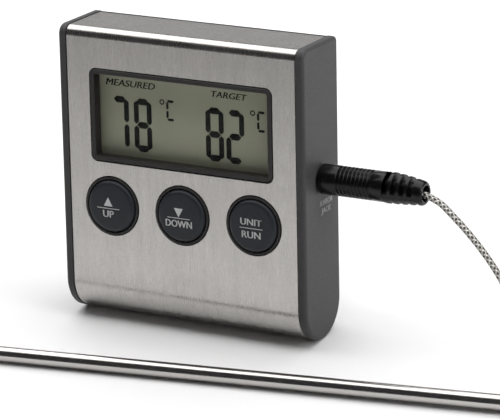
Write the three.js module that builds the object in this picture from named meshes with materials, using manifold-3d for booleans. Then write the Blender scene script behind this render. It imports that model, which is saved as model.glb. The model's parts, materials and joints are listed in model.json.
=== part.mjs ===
// A digital meat thermometer with a wired probe: a leaning steel-fronted case on its fold-out stand,
// and the plug, braided cable and probe that belong to it. Millimetres, +Z up, the display faces -Y.
import * as THREE from "three";
import { mergeVertices } from "three/addons/utils/BufferGeometryUtils.js";
import Module from "manifold-3d";

const wasm = await Module();
wasm.setup();

// ---------------------------------------------------------------- driving dimensions
const degrees = Math.PI / 180;

// Case, as an upright unit: front plane at y = 0, lowest line at z = 0, centred on x = 0.
const caseWidth = 66;
const caseHeight = 72;
const caseDepth = 17.5;
const topFrontRadius = 2.5;
const topBackRadius = 1.2;
const leanAngle = 10 * degrees;

// Clearances.
const restGap = 0.1; // between pieces that rest on or are glued to each other
const fitGap = 0.2; // round a piece that slides or drops into a pocket
const seamGap = 0.25; // between outer shells

// Shells.
const steelThickness = 0.5;
const steelInset = 0.15; // the side caps stand this much proud of the steel
const steelWrapPastBottom = 60 * degrees;
const shellWall = 1.5;
const capThickness = 2.05;
const capEdgeRadius = 0.9;
const capTab = 1.2;
const capTabReach = 1.9;
const rearInset = 0.1;
const rearWall = 1.6;

// Display.
const windowWidth = 49.4;
const windowHeight = 22.9;
const windowAboveButtons = 3.38; // from the button holes up to the window
const windowCornerRadius = 1.8;
const bezelFrameWidth = 1.4;
const bezelDepth = 4.15;
const bezelFlange = 1.2;
const lensThickness = 0.8;
const lcdThickness = 2.0;
const rebate = 0.8;
const zebraLength = 39;
const zebraHeight = 2.5;

// Buttons.
const buttonPitch = 19.3;
const buttonCentreZ = 28.6;
const buttonHoleRadius = 7.37;
const collarWall = 0.5;
const buttonRise = 1.0;
const buttonEdgeRadius = 1.1;
const buttonTravel = 0.5;
const switchSide = 6;
const switchHeight = 3.3;
const stemRadius = 1.8;

// Circuit board.
const boardThickness = 1.2;
const boardEdge = 2.2; // from its upper screws to its upper edge
const boardScrewRadius = 0.75;
const buzzerAt = [-19, 30];
const soundSlots = [-27, -25.2, -23.4, -21.6];

// Battery compartment: one AAA cell lying across the case.
const cellRadius = 5.25;
const cellLength = 43.6;
const cellNubLength = 0.9;
const cellNubRadius = 1.9;
const springLength = 3.3;
const springTurns = 3;
const springWireRadius = 0.28;
const contactThickness = 0.4;
const troughWall = 0.9;
const doorThickness = 1.45;
const doorLedge = 0.75;
const doorPinRadius = 0.45;
const doorPinLength = 0.6;

// Stand.
const flapHalfWidth = 14.5;
const flapLength = 38;
const flapThickness = 1.8;
const flapHingeZ = 24.2;
const trunnionRadius = 0.6;
const trunnionLength = 1.3;
const footCut = 0.8;

// Magnets and screws.
const magnetRadius = 4;
const magnetThickness = 1.5;
const magnetX = 23.5;
const magnetZ = 46;
const screwHeadRadius = 1.9;
const screwShankRadius = 0.8;
const casePostRadius = 1.95;
const caseScrewInset = 4.9; // from the case's end and, with the cap's wall, from its top
const screwBossRadius = 2.6;

// Plug and socket on the right side.
const jackY = 8.9;
const jackZ = 39.5;
const jackSide = 5.8;
const jackLength = 10.4;
const pinRadius = 1.25;
const pinLength = 11.2;
const plugRadius = 3.62;
const plugLength = 17.2;
const gripRings = 9;
const gripPitch = 1.03;
const reliefLength = 9.6;
const reliefSlots = 4;
const reliefSlotPitch = 2.05;
const reliefSlotWidth = 1.2;
const reliefDroop = 0.4;
const reliefSpigot = 2.2;
const reliefSpigotLength = 3.3;
const reliefCore = 2;
const reliefMouth = 1.9;

// Cable and probe.
const cableRadius = 0.8;
const coilMeanRadius = 8.8;
const coilTurnsWide = 4;
const coilCentre = [113, 10];
const coilBase = 0.8;
const probeRadius = 1.9;
const probeLength = 160;
const probeTipLength = 9;
const probeWall = 0.45;
const probeCableEnd = [104, -18.76];
const probeAngle = 6.4 * degrees;
const ferruleRadius = 2.3;
const ferruleLength = 12;

// ---------------------------------------------------------------- derived sizes
const halfWidth = caseWidth / 2;
const bottomRadius = caseDepth / 2;
const steelHalfWidth = halfWidth - capThickness - fitGap;
const shellInset = steelInset + steelThickness + restGap;
const shellInner = shellInset + shellWall;
const rearInner = rearInset + rearWall;
const splitY = caseDepth - rearInner;
const windowCentreZ = buttonCentreZ + buttonHoleRadius + windowAboveButtons + windowHeight / 2;
const bezelFront = steelInset - fitGap;
const bezelBack = bezelFront + bezelDepth;
const lensFront = bezelFront + 2.65;
const lcdFront = lensFront + lensThickness + restGap;
const lcdBack = lcdFront + lcdThickness;
const zebraFront = lcdBack + restGap;
const boardFront = zebraFront + zebraHeight + restGap;
const boardBack = boardFront + boardThickness;
const buttonRadius = buttonHoleRadius - fitGap - collarWall - 1.5 * fitGap;
const buttonXs = [-buttonPitch, 0, buttonPitch];
const doorFace = caseDepth - rearInset;
const doorSeat = doorFace - doorThickness - restGap;
const troughBack = doorSeat - doorLedge;
const cellCentreY = troughBack - 3.5 * restGap - cellRadius;
const cellCentreZ = bottomRadius + 3.95;
const troughTop = cellCentreZ + cellRadius + 1.3;
const troughBottom = cellCentreZ - cellRadius - 1.55;
const troughFront = cellCentreY - cellRadius - 1.2;
const cellLeft = -cellLength / 2 + 0.9;
const cellRight = cellLeft + cellLength;
const springSeat = cellLeft - restGap - springLength;
const troughLeft = springSeat - contactThickness - fitGap;
const troughRight = cellRight + cellNubLength + 2 * fitGap + contactThickness + 0.4;
const boardBottom = troughTop + 0.4;
const doorOpening = { low: cellCentreZ - cellRadius + 0.15, high: troughTop - troughWall - fitGap };
const doorLow = doorOpening.low - 0.5;
const doorHigh = doorOpening.high + 0.9;
const doorHalfWidth = 23.9;
const doorPinY = doorFace - doorThickness / 2;
const doorPinZ = doorLow + fitGap + doorThickness / 2;
const magnetSeat = doorFace - magnetThickness - restGap;
const screwSeat = splitY - 1;
const switchFront = boardFront - restGap - switchHeight;
const switchBack = boardFront - restGap;
const jackLeft = halfWidth - capThickness - restGap - jackLength;
const jackLow = jackZ - jackSide / 2;
const flapHingeY = caseDepth - flapThickness / 2 - 0.15;
const pocketFloor = flapHingeY - flapThickness / 2 - 1.5 * fitGap;
const hingeHeight =
  bottomRadius -
  (flapHingeY - bottomRadius) * Math.sin(leanAngle) +
  (flapHingeZ - bottomRadius) * Math.cos(leanAngle);
const flapDip =
  Math.asin((hingeHeight + footCut) / Math.hypot(flapLength, flapThickness / 2)) -
  Math.atan2(flapThickness / 2, flapLength);
const openAngle = Math.PI / 2 - leanAngle + flapDip;
const heelRoom =
  (flapThickness / 2 + restGap - (doorFace - flapHingeY) * Math.cos(openAngle)) / Math.sin(openAngle);
const caseScrewX = halfWidth - caseScrewInset;
const caseScrewZs = [caseHeight - caseScrewInset - rearWall, cellCentreZ + 0.8];
const caseScrews = [-caseScrewX, caseScrewX].flatMap((x) => caseScrewZs.map((z) => [x, z]));
const upperScrewZ = windowCentreZ + windowHeight / 2 + bezelFlange + 2 * fitGap + casePostRadius;
const boardTop = upperScrewZ + boardEdge;
const boardHalfWidth = caseScrewX - screwBossRadius - fitGap;
const boardScrews = [
  [-22, upperScrewZ],
  [22, upperScrewZ],
  [-buttonPitch / 2, boardBottom + 2],
  [buttonPitch / 2, boardBottom + 2],
];

// ---------------------------------------------------------------- modelling helpers
const roundSides = 28; // facets round a button and what fits it
const axisX = new THREE.Vector3(1, 0, 0);
const axisY = new THREE.Vector3(0, 1, 0);
const axisZ = new THREE.Vector3(0, 0, 1);

// A closed three.js geometry as a solid that can be joined and cut.
function solid(geometry) {
  const bare = new THREE.BufferGeometry();
  bare.setAttribute("position", geometry.getAttribute("position"));
  if (geometry.index) bare.setIndex(geometry.index);
  const merged = mergeVertices(bare, 1e-4);
  return new wasm.Manifold(
    new wasm.Mesh({
      numProp: 3,
      vertProperties: new Float32Array(merged.attributes.position.array),
      triVerts: new Uint32Array(merged.index.array),
    }),
  );
}

function geometryOf(body) {
  const { vertProperties, triVerts } = body.getMesh();
  const geometry = new THREE.BufferGeometry();
  geometry.setAttribute("position", new THREE.BufferAttribute(vertProperties, 3));
  geometry.setIndex(new THREE.BufferAttribute(triVerts, 1));
  return geometry;
}

const join = (first, ...rest) => rest.reduce((all, one) => all.add(one), first);
const cut = (first, ...rest) => rest.reduce((left, one) => left.subtract(one), first);

// A block between two corners.
function block(x0, x1, y0, y1, z0, z1) {
  const geometry = new THREE.BoxGeometry(x1 - x0, y1 - y0, z1 - z0);
  geometry.translate((x0 + x1) / 2, (y0 + y1) / 2, (z0 + z1) / 2);
  return solid(geometry);
}

// A side-view outline, drawn in (y, z), extruded from x0 to x1.
function alongX(shape, x0, x1, bevel = {}) {
  const geometry = new THREE.ExtrudeGeometry(shape, {
    depth: x1 - x0,
    curveSegments: 6,
    bevelEnabled: false,
    ...bevel,
  });
  geometry.applyMatrix4(new THREE.Matrix4().makeBasis(axisY, axisZ, axisX));
  geometry.translate(x0, 0, 0);
  return solid(geometry);
}

// A front-view outline, drawn in (x, z), extruded from y0 back to y1.
function alongY(shape, y0, y1) {
  const settings = { depth: y1 - y0, curveSegments: 2, bevelEnabled: false };
  const geometry = new THREE.ExtrudeGeometry(shape, settings);
  geometry.applyMatrix4(new THREE.Matrix4().makeBasis(axisX, axisZ, axisY.clone().negate()));
  geometry.translate(0, y1, 0);
  return solid(geometry);
}

// A profile of [radius, position] pairs, turned about a line through (x, z) that runs along Y.
function turnedY(profile, x, z, segments = 24) {
  const geometry = new THREE.LatheGeometry(
    profile.map(([r, y]) => new THREE.Vector2(r, y)),
    segments,
  );
  geometry.translate(x, 0, z);
  return solid(geometry);
}

// The same about a line through (y, z) that runs along X.
function turnedX(profile, y, z, segments = 24) {
  const geometry = new THREE.LatheGeometry(
    profile.map(([r, x]) => new THREE.Vector2(r, x)),
    segments,
  );
  geometry.applyMatrix4(new THREE.Matrix4().makeBasis(axisZ, axisX, axisY));
  geometry.translate(0, y, z);
  return solid(geometry);
}

const rodY = (radius, y0, y1, x, z, segments) =>
  turnedY([[0, y0], [radius, y0], [radius, y1], [0, y1]], x, z, segments);
const rodX = (radius, x0, x1, y, z, segments) =>
  turnedX([[0, x0], [radius, x0], [radius, x1], [0, x1]], y, z, segments);

function roundedRectangle(centreX, centreZ, width, height, radius) {
  const shape = new THREE.Shape();
  const [left, right] = [centreX - width / 2, centreX + width / 2];
  const [low, high] = [centreZ - height / 2, centreZ + height / 2];
  shape.moveTo(left + radius, low);
  shape.absarc(right - radius, low + radius, radius, -Math.PI / 2, 0, false);
  shape.absarc(right - radius, high - radius, radius, 0, Math.PI / 2, false);
  shape.absarc(left + radius, high - radius, radius, Math.PI / 2, Math.PI, false);
  shape.absarc(left + radius, low + radius, radius, Math.PI, 1.5 * Math.PI, false);
  return shape;
}

// Points on an arc about (a, b), from one angle to another.
const arc = (a, b, radius, from, to, steps) =>
  Array.from({ length: steps + 1 }, (_, step) => {
    const turn = from + ((to - from) * step) / steps;
    return [a + radius * Math.cos(turn), b + radius * Math.sin(turn)];
  });

const polygon = (points) => new THREE.Shape(points.map(([a, b]) => new THREE.Vector2(a, b)));

// The case's side outline: flat front, top and back, and a full half-round bottom.
function caseOutline(inset) {
  const frontRadius = Math.max(topFrontRadius - inset, 0.3);
  const backRadius = Math.max(topBackRadius - inset, 0.3);
  const [front, back, top] = [inset, caseDepth - inset, caseHeight - inset];
  return polygon([
    ...arc(bottomRadius, bottomRadius, bottomRadius - inset, Math.PI, 2 * Math.PI, 24),
    ...arc(back - backRadius, top - backRadius, backRadius, 0, Math.PI / 2, 4),
    ...arc(front + frontRadius, top - frontRadius, frontRadius, Math.PI / 2, Math.PI, 6),
  ]);
}

// The part of the side view that belongs to the rear cover: behind the split line and up from the
// end of the steel's wrap round the bottom.
function rearRegion(gap) {
  const reach = 3 * bottomRadius;
  const away = new THREE.Vector2(Math.sin(steelWrapPastBottom), -Math.cos(steelWrapPastBottom));
  const shift = new THREE.Vector2(-away.y, away.x).multiplyScalar(gap);
  return polygon([
    [splitY + gap, caseHeight + reach],
    [splitY + gap, bottomRadius + gap],
    [bottomRadius + shift.x, bottomRadius + shift.y],
    [bottomRadius + shift.x + reach * away.x, bottomRadius + shift.y + reach * away.y],
    [bottomRadius + reach, caseHeight + reach],
  ]);
}

const hollowCase = (outer, inner, halfLength) =>
  cut(
    alongX(caseOutline(outer), -halfLength, halfLength),
    alongX(caseOutline(inner), -halfLength - 1, halfLength + 1),
  );

const windowShape = (grow, radius = windowCornerRadius + grow / 2) =>
  roundedRectangle(0, windowCentreZ, windowWidth + grow, windowHeight + grow, radius);

// ---------------------------------------------------------------- materials and scene graph
function material(color, roughness, metalness = 0, extra = {}) {
  return new THREE.MeshStandardMaterial({ color, roughness, metalness, ...extra });
}
const finishes = {
  brushedSteel: () => material(0xb4b1ac, 0.38, 1),
  polishedSteel: () => material(0xc9c8c5, 0.16, 1),
  darkPlastic: () => material(0x4b494b, 0.55),
  blackPlastic: () => material(0x171718, 0.4),
  button: () => material(0x25272c, 0.5),
  lens: () => material(0xd9ddd6, 0.05, 0, { transparent: true, opacity: 0.35 }),
  liquidCrystal: () => material(0x6b6e5b, 0.35),
  rubber: () => material(0x5d5f63, 0.8),
  board: () => material(0x1d5a36, 0.5),
  epoxy: () => material(0x121212, 0.35),
  brass: () => material(0xc9a44c, 0.3, 1),
  nickel: () => material(0xbcbab4, 0.28, 1),
  cellWrap: () => material(0x2d4f7c, 0.4, 0.3),
  braid: () => material(0x9a9892, 0.35, 1),
};

const part = new THREE.Group();
const onTable = new THREE.Group(); // x = 0 at the case's middle, y = 0 at its line of contact
const leaning = new THREE.Group();
const unit = new THREE.Group(); // the case's own upright frame
leaning.rotation.x = -leanAngle;
leaning.position.z = bottomRadius;
unit.position.set(0, -bottomRadius, -bottomRadius);
part.add(onTable);
onTable.add(leaning);
leaning.add(unit);

function place(parent, name, body, finish) {
  const geometry = body.isBufferGeometry ? body : geometryOf(body);
  const mesh = new THREE.Mesh(geometry, finishes[finish]());
  mesh.name = name;
  parent.add(mesh);
  return mesh;
}

// ---------------------------------------------------------------- steel cover and shells
function steelCover() {
  const sheet = cut(
    hollowCase(steelInset, steelInset + steelThickness, steelHalfWidth),
    alongX(rearRegion(0), -halfWidth, halfWidth),
    alongY(windowShape(0), -1, shellInner),
  );
  const holes = buttonXs.map((x) => rodY(buttonHoleRadius, -1, shellInner, x, buttonCentreZ, roundSides));
  return cut(sheet, ...holes);
}

function frontHousing() {
  const shell = cut(
    hollowCase(shellInset, shellInner, steelHalfWidth),
    alongX(rearRegion(0), -halfWidth, halfWidth),
    block(-halfWidth, halfWidth, bottomRadius, caseDepth, bottomRadius, caseHeight - shellInner),
  );
  const collars = buttonXs.map((x) =>
    rodY(buttonHoleRadius - fitGap, bezelFront, shellInner - 0.2, x, buttonCentreZ, roundSides),
  );
  const posts = [
    ...caseScrews.map(([x, z]) => rodY(casePostRadius, shellInner - 0.2, splitY - 2.4, x, z, 12)),
    ...boardScrews.map(([x, z]) => rodY(casePostRadius, shellInner - 0.2, boardFront - restGap, x, z, 12)),
  ];
  const wells = [
    ...buttonXs.map((x) =>
      rodY(buttonRadius + 1.5 * fitGap, -1, shellInner + 1, x, buttonCentreZ, roundSides),
    ),
    ...caseScrews.map(([x, z]) => rodY(screwShankRadius + restGap, splitY - 9.5, splitY, x, z, 10)),
    ...boardScrews.map(([x, z]) => rodY(boardScrewRadius + restGap, boardFront - 4.4, boardBack, x, z, 10)),
    alongY(windowShape(0), -1, shellInner + 1),
  ];
  return cut(join(shell, ...collars, ...posts), ...wells);
}

// A side cap: the whole side outline with a rounded outer edge, and tabs that locate it in the shells.
function sideCap(openings) {
  const edge = {
    bevelEnabled: true,
    bevelThickness: capEdgeRadius,
    bevelSize: capEdgeRadius,
    bevelOffset: -capEdgeRadius,
    bevelSegments: 4,
  };
  const inner = halfWidth - capThickness;
  const slab = alongX(caseOutline(0), inner - 3, halfWidth - capEdgeRadius, edge);
  const plate = cut(slab, block(inner - 10, inner, -5, caseDepth + 5, -5, caseHeight + 5));
  const tab = (y0, y1, z0, z1) => block(inner - capTabReach, inner + 0.5, y0, y1, z0, z1);
  const tabs = [
    tab(shellInner + fitGap, shellInner + fitGap + capTab, windowCentreZ - 7, windowCentreZ + 7),
    tab(splitY - fitGap - capTab, splitY - fitGap, magnetZ + 6, magnetZ + 14),
    tab(bottomRadius - 2.3, bottomRadius + 2.3, shellInner + 0.7, shellInner + 0.7 + capTab),
  ];
  return cut(join(plate, ...tabs), ...openings);
}

// What is left for the rear cover once the front housing has its walls.
function rearSpace() {
  const inner = alongX(caseOutline(shellInner + restGap), -steelHalfWidth, steelHalfWidth);
  const behind = alongX(rearRegion(seamGap), -steelHalfWidth, steelHalfWidth);
  const [low, high] = [bottomRadius + seamGap, caseHeight - shellInner - restGap];
  const between = block(-steelHalfWidth, steelHalfWidth, bottomRadius, caseDepth, low, high);
  return join(inner, behind, between).intersect(
    alongX(caseOutline(rearInset), -steelHalfWidth, steelHalfWidth),
  );
}

// The rear cover carries the battery trough, the stand's pocket, the magnet seats and the screw bosses.
function rearCover() {
  const inside = splitY + 2 * seamGap;
  const pocketTop = flapHingeZ + flapLength + fitGap;
  const pocketSide = flapHalfWidth + fitGap;
  const pinSide = pocketSide + trunnionLength;
  const outerSide = pinSide + 0.6;
  const doorPinSide = doorHalfWidth + doorPinLength;
  const [troughOuterLeft, troughOuterRight] = [troughLeft - troughWall, troughRight + troughWall];
  const shell = hollowCase(rearInset, rearInner, steelHalfWidth).intersect(
    alongX(rearRegion(seamGap), -halfWidth, halfWidth),
  );
  const solids = [
    block(-outerSide, outerSide, pocketFloor - 1.2, inside, flapHingeZ - 3, pocketTop + 1.2),
    block(troughOuterLeft, troughOuterRight, troughFront, caseDepth, troughBottom, troughTop),
    ...[-magnetX, magnetX].map((x) => rodY(magnetRadius + 1, magnetSeat - 1.2, inside, x, magnetZ, 16)),
    ...caseScrews.map(([x, z]) => rodY(screwBossRadius, splitY - 2.3, inside, x, z, 12)),
  ];
  const openings = [
    block(-pocketSide, pocketSide, pocketFloor, caseDepth + 1, flapHingeZ - heelRoom, pocketTop),
    rodX(trunnionRadius + restGap, -pinSide, pinSide, flapHingeY, flapHingeZ, 16),
    rodY(6, doorFace - 0.8, caseDepth + 1, 0, pocketTop, 24),
    block(
      troughLeft,
      troughRight,
      troughFront + troughWall,
      troughBack,
      troughBottom + troughWall,
      troughTop - troughWall,
    ),
    block(
      0.8 - doorHalfWidth,
      doorHalfWidth - 0.8,
      cellCentreY,
      caseDepth + 1,
      doorOpening.low,
      doorOpening.high,
    ),
    block(-doorHalfWidth, doorHalfWidth, doorSeat, caseDepth + 1, doorLow, doorHigh),
    rodX(doorPinRadius + restGap, -doorPinSide, doorPinSide, doorPinY, doorPinZ, 12),
    ...[-magnetX, magnetX].map((x) =>
      rodY(magnetRadius + fitGap, magnetSeat, caseDepth + 1, x, magnetZ, 20),
    ),
    ...caseScrews.flatMap(([x, z]) => [
      rodY(screwHeadRadius + fitGap, screwSeat - restGap, caseDepth + 1, x, z, 16),
      rodY(screwShankRadius + restGap, splitY - 3, caseDepth, x, z, 12),
    ]),
    ...soundSlots.map((x) =>
      alongY(roundedRectangle(x, buzzerAt[1], 0.9, 6.5, 0.4), splitY - 1, caseDepth + 1),
    ),
  ];
  return cut(join(shell, ...solids).intersect(rearSpace()), ...openings);
}

// ---------------------------------------------------------------- display stack
// The frame round the window: its face stands in the steel's opening, its flange behind the wall.
function displayBezel() {
  const opening = -2 * bezelFrameWidth;
  const face = alongY(windowShape(-2 * fitGap), bezelFront, bezelBack);
  const flange = alongY(windowShape(2 * bezelFlange), shellInner + restGap, bezelBack);
  return cut(
    join(face, flange),
    alongY(windowShape(opening, windowCornerRadius / 2), bezelFront - 1, bezelBack + 1),
    alongY(windowShape(opening + 2 * rebate, windowCornerRadius / 2), lensFront - restGap, bezelBack + 1),
  );
}

const rebatePlate = (y0, y1) =>
  alongY(windowShape(2 * (rebate - bezelFrameWidth - fitGap), windowCornerRadius / 2), y0, y1);

const zebraStrip = (side) => {
  const z = windowCentreZ + side * (windowHeight / 2 - bezelFrameWidth - 0.6);
  return block(-zebraLength / 2, zebraLength / 2, zebraFront, zebraFront + zebraHeight, z - 0.8, z + 0.8);
};

// ---------------------------------------------------------------- buttons and circuit board
// A domed cap with a soft edge, a flange that holds it behind the wall, and a stem that reaches its switch.
function buttonCap(x) {
  const crown = 0.12;
  const edge = [0, 1, 2, 3, 4].map((step) => {
    const turn = (step / 4) * (Math.PI / 2);
    return [
      buttonRadius - buttonEdgeRadius * (1 - Math.sin(turn)),
      crown - buttonRise + buttonEdgeRadius * (1 - Math.cos(turn)),
    ];
  });
  const flangeFront = shellInner + restGap;
  const profile = [
    [0, -buttonRise],
    [buttonRadius / 2, -buttonRise + crown / 4],
    ...edge,
    [buttonRadius, flangeFront],
    [buttonRadius + 0.9, flangeFront],
    [buttonRadius + 0.9, flangeFront + 0.7],
    [stemRadius, flangeFront + 0.7],
    [stemRadius, switchFront + buttonTravel],
    [0, switchFront + buttonTravel],
  ];
  return turnedY(profile, x, buttonCentreZ, roundSides);
}

function tactSwitch(x) {
  const half = switchSide / 2;
  return cut(
    block(x - half, x + half, switchFront, switchBack, buttonCentreZ - half, buttonCentreZ + half),
    rodY(stemRadius + fitGap, switchFront - 1, switchFront + 2 * buttonTravel + fitGap, x, buttonCentreZ, 20),
  );
}

function circuitBoard() {
  const [notchLow, notchHigh] = [jackLow - fitGap, jackLow + jackSide + fitGap];
  const notch = block(jackLeft - fitGap, halfWidth, 0, caseDepth, notchLow, notchHigh);
  const holes = boardScrews.map(([x, z]) => rodY(boardScrewRadius + fitGap, 0, caseDepth, x, z, 12));
  return cut(
    block(-boardHalfWidth, boardHalfWidth, boardFront, boardBack, boardBottom, boardTop),
    notch,
    ...holes,
  );
}

// A pan-head screw driven towards the front, with a cross recess in its head.
function screw(x, z, headY, headRadius, headHeight, shankRadius, shankLength) {
  const body = turnedY(
    [
      [0, headY - shankLength],
      [shankRadius, headY - shankLength + shankRadius],
      [shankRadius, headY],
      [headRadius, headY],
      [headRadius, headY + 0.6 * headHeight],
      [0.7 * headRadius, headY + headHeight],
      [0, headY + headHeight],
    ],
    x,
    z,
    12,
  );
  const half = 0.6 * headRadius;
  const slot = (w, h) => block(x - w, x + w, headY + 0.45 * headHeight, headY + 2 * headHeight, z - h, z + h);
  return cut(body, slot(half, 0.16 * headRadius), slot(0.16 * headRadius, half));
}

const epoxyBlob = () => {
  const profile = [[0, restGap], [5, restGap], [4.5, 0.9], [3, 1.5], [0, 1.7]];
  return turnedY(profile.map(([r, y]) => [r, boardBack + y]), 0, windowCentreZ - 4, 20);
};

const buzzer = () =>
  cut(
    rodY(6, boardBack + restGap, boardBack + 4.2, ...buzzerAt, 32),
    rodY(1, boardBack + 2, boardBack + 5, ...buzzerAt, 12),
  );

// ---------------------------------------------------------------- battery
class ConicalCoil extends THREE.Curve {
  getPoint(t) {
    const turn = 2 * Math.PI * springTurns * t;
    const radius = THREE.MathUtils.lerp(cellRadius - 1.55, 2.2, t);
    return new THREE.Vector3(
      springSeat + 0.15 + (springLength - 0.15 - springWireRadius) * t,
      cellCentreY + radius * Math.cos(turn),
      cellCentreZ + radius * Math.sin(turn),
    );
  }
}

function roundSection(radius, sides) {
  const shape = new THREE.Shape();
  for (let side = 0; side < sides; side += 1) {
    const turn = (2 * Math.PI * side) / sides;
    const [a, b] = [radius * Math.cos(turn), radius * Math.sin(turn)];
    if (side) shape.lineTo(a, b);
    else shape.moveTo(a, b);
  }
  return shape;
}

const sweep = (path, radius, sides, steps) =>
  new THREE.ExtrudeGeometry(roundSection(radius, sides), { extrudePath: path, steps, bevelEnabled: false });

const contactPlate = (x0) => {
  const [half, y, z] = [cellRadius - 0.85, cellCentreY, cellCentreZ];
  return block(x0, x0 + contactThickness, y - half, y + half, z - half, z + half);
};

const batterySpring = () =>
  join(
    solid(sweep(new ConicalCoil(), springWireRadius, 6, 10 * springTurns)),
    contactPlate(springSeat - contactThickness),
  );

function batteryPlate() {
  const left = troughRight - restGap - contactThickness;
  const dimple = cellRight + cellNubLength + restGap;
  return join(contactPlate(left), rodX(1.5, dimple, left + 0.1, cellCentreY, cellCentreZ, 16));
}

const batteryCell = () =>
  turnedX(
    [
      [0, cellLeft],
      [cellRadius - 0.5, cellLeft],
      [cellRadius, cellLeft + 0.5],
      [cellRadius, cellRight - 0.5],
      [cellRadius - 0.5, cellRight],
      [cellNubRadius, cellRight],
      [cellNubRadius, cellRight + cellNubLength],
      [0, cellRight + cellNubLength],
    ],
    cellCentreY,
    cellCentreZ,
    28,
  );

// The door turns out on two pins at the ends of its rounded lower edge, and has a ribbed thumb recess.
function batteryDoor() {
  const half = doorHalfWidth - fitGap;
  const high = doorHigh - fitGap;
  const pin = half + doorPinLength;
  const panel = alongX(caseOutline(rearInset), -half, half).intersect(
    join(
      block(-half, half, doorSeat + restGap, caseDepth, doorPinZ, high),
      rodX(doorThickness / 2, -half, half, doorPinY, doorPinZ, 20),
    ),
  );
  const recess = block(-5, 5, doorFace - 0.5, caseDepth, high - 3.4, high - 0.8);
  const ribs = [-3.2, -1.6, 0, 1.6, 3.2].map((x) =>
    block(x - 0.3, x + 0.3, doorFace - 0.6, doorFace - 0.1, high - 3.3, high - 0.9),
  );
  return join(cut(panel, recess), ...ribs, rodX(doorPinRadius, -pin, pin, doorPinY, doorPinZ, 12));
}

// ---------------------------------------------------------------- stand
// In the flap's own frame: hinge line on X, +Z along the flap, +Y its outer face when it is shut.
function standFlap() {
  const half = flapThickness / 2;
  const outline = new THREE.Shape();
  const corner = 4;
  outline.moveTo(-flapHalfWidth, 0);
  outline.lineTo(flapHalfWidth, 0);
  outline.absarc(flapHalfWidth - corner, flapLength - corner, corner, 0, Math.PI / 2, false);
  outline.absarc(-flapHalfWidth + corner, flapLength - corner, corner, Math.PI / 2, Math.PI, false);
  const blank = join(
    alongY(outline, -half, half),
    rodX(half, -flapHalfWidth, flapHalfWidth, 0, 0, 20),
    rodX(trunnionRadius, -flapHalfWidth - trunnionLength, flapHalfWidth + trunnionLength, 0, 0, 16),
  );
  const panel = alongY(
    roundedRectangle(0, flapLength / 2 + 0.5, 2 * flapHalfWidth - 5, flapLength - 9, 2.5),
    -half - 1,
    -half + 0.7,
  );
  const grips = [0, 1, 2, 3].map((row) =>
    block(-7, 7, half - 0.3, half + 1, flapLength - 6.2 + row * 1.3, flapLength - 5.6 + row * 1.3),
  );
  const down = [Math.cos(flapDip), Math.sin(flapDip)];
  const along = [-down[1], down[0]];
  const floorPoint = (reach, depth) => [
    down[0] * (hingeHeight + depth) + along[0] * reach,
    down[1] * (hingeHeight + depth) + along[1] * reach,
  ];
  const floor = polygon([floorPoint(-60, 0), floorPoint(-60, 20), floorPoint(60, 20), floorPoint(60, 0)]);
  return cut(blank, panel, ...grips, alongX(floor, -halfWidth, halfWidth));
}

// ---------------------------------------------------------------- socket and plug
function jackSocket() {
  const right = halfWidth - capThickness - restGap;
  return cut(
    join(
      block(jackLeft, right, jackY - jackSide / 2, jackY + jackSide / 2, jackLow, jackLow + jackSide),
      rodX(jackSide / 2 - 1.5 * fitGap, right - 1, halfWidth - 0.35, jackY, jackZ, 24),
    ),
    rodX(pinRadius + 0.12, jackLeft + 0.8, halfWidth, jackY, jackZ, 20),
  );
}

const pinRoot = halfWidth + restGap / 2;
const plugFront = halfWidth + fitGap;
const plugEnd = halfWidth + plugLength;

function plugPin() {
  const tip = pinRoot - pinLength;
  const neck = 0.72 * pinRadius;
  return turnedX(
    [
      [0, tip],
      [0.55 * pinRadius, tip + 0.15],
      [0.92 * pinRadius, tip + 0.9],
      [neck, tip + 1.9],
      [pinRadius, tip + 2.6],
      [pinRadius, tip + 4.4],
      [0.88 * pinRadius, tip + 4.5],
      [0.88 * pinRadius, tip + 5],
      [pinRadius, tip + 5.1],
      [pinRadius, pinRoot + 5],
      [0, pinRoot + 5],
    ],
    jackY,
    jackZ,
    16,
  );
}

// The moulded grip: a plain nose, a run of fine rings, a smooth collar, and sockets for pin and relief.
function plugBody() {
  const rings = Array.from({ length: gripRings }, (_, ring) => {
    const x = halfWidth + 5 + ring * gripPitch;
    return [[plugRadius, x], [plugRadius - 0.28, x + 0.3], [plugRadius, x + 0.6]];
  }).flat();
  return turnedX(
    [
      [0, pinRoot + 5 + fitGap],
      [pinRadius + restGap, pinRoot + 5 + fitGap],
      [pinRadius + restGap, plugFront],
      [plugRadius - 0.3, plugFront],
      [plugRadius, plugFront + 0.3],
      ...rings,
      [plugRadius, plugEnd - 0.4],
      [plugRadius - 0.3, plugEnd],
      [reliefSpigot + restGap, plugEnd],
      [reliefSpigot + restGap, plugEnd - reliefSpigotLength - restGap],
      [0, plugEnd - reliefSpigotLength - restGap],
    ],
    jackY,
    jackZ,
    20,
  );
}

// A slot cutter of the strain relief: part of a ring, between two angles seen along the plug's axis.
function ringSector(from, to, x0) {
  const sector = new THREE.Shape();
  sector.absarc(jackY, jackZ, 2 * plugRadius, from, to, false);
  sector.absarc(jackY, jackZ, reliefCore, to, from, true);
  return alongX(sector, x0, x0 + reliefSlotWidth);
}

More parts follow.
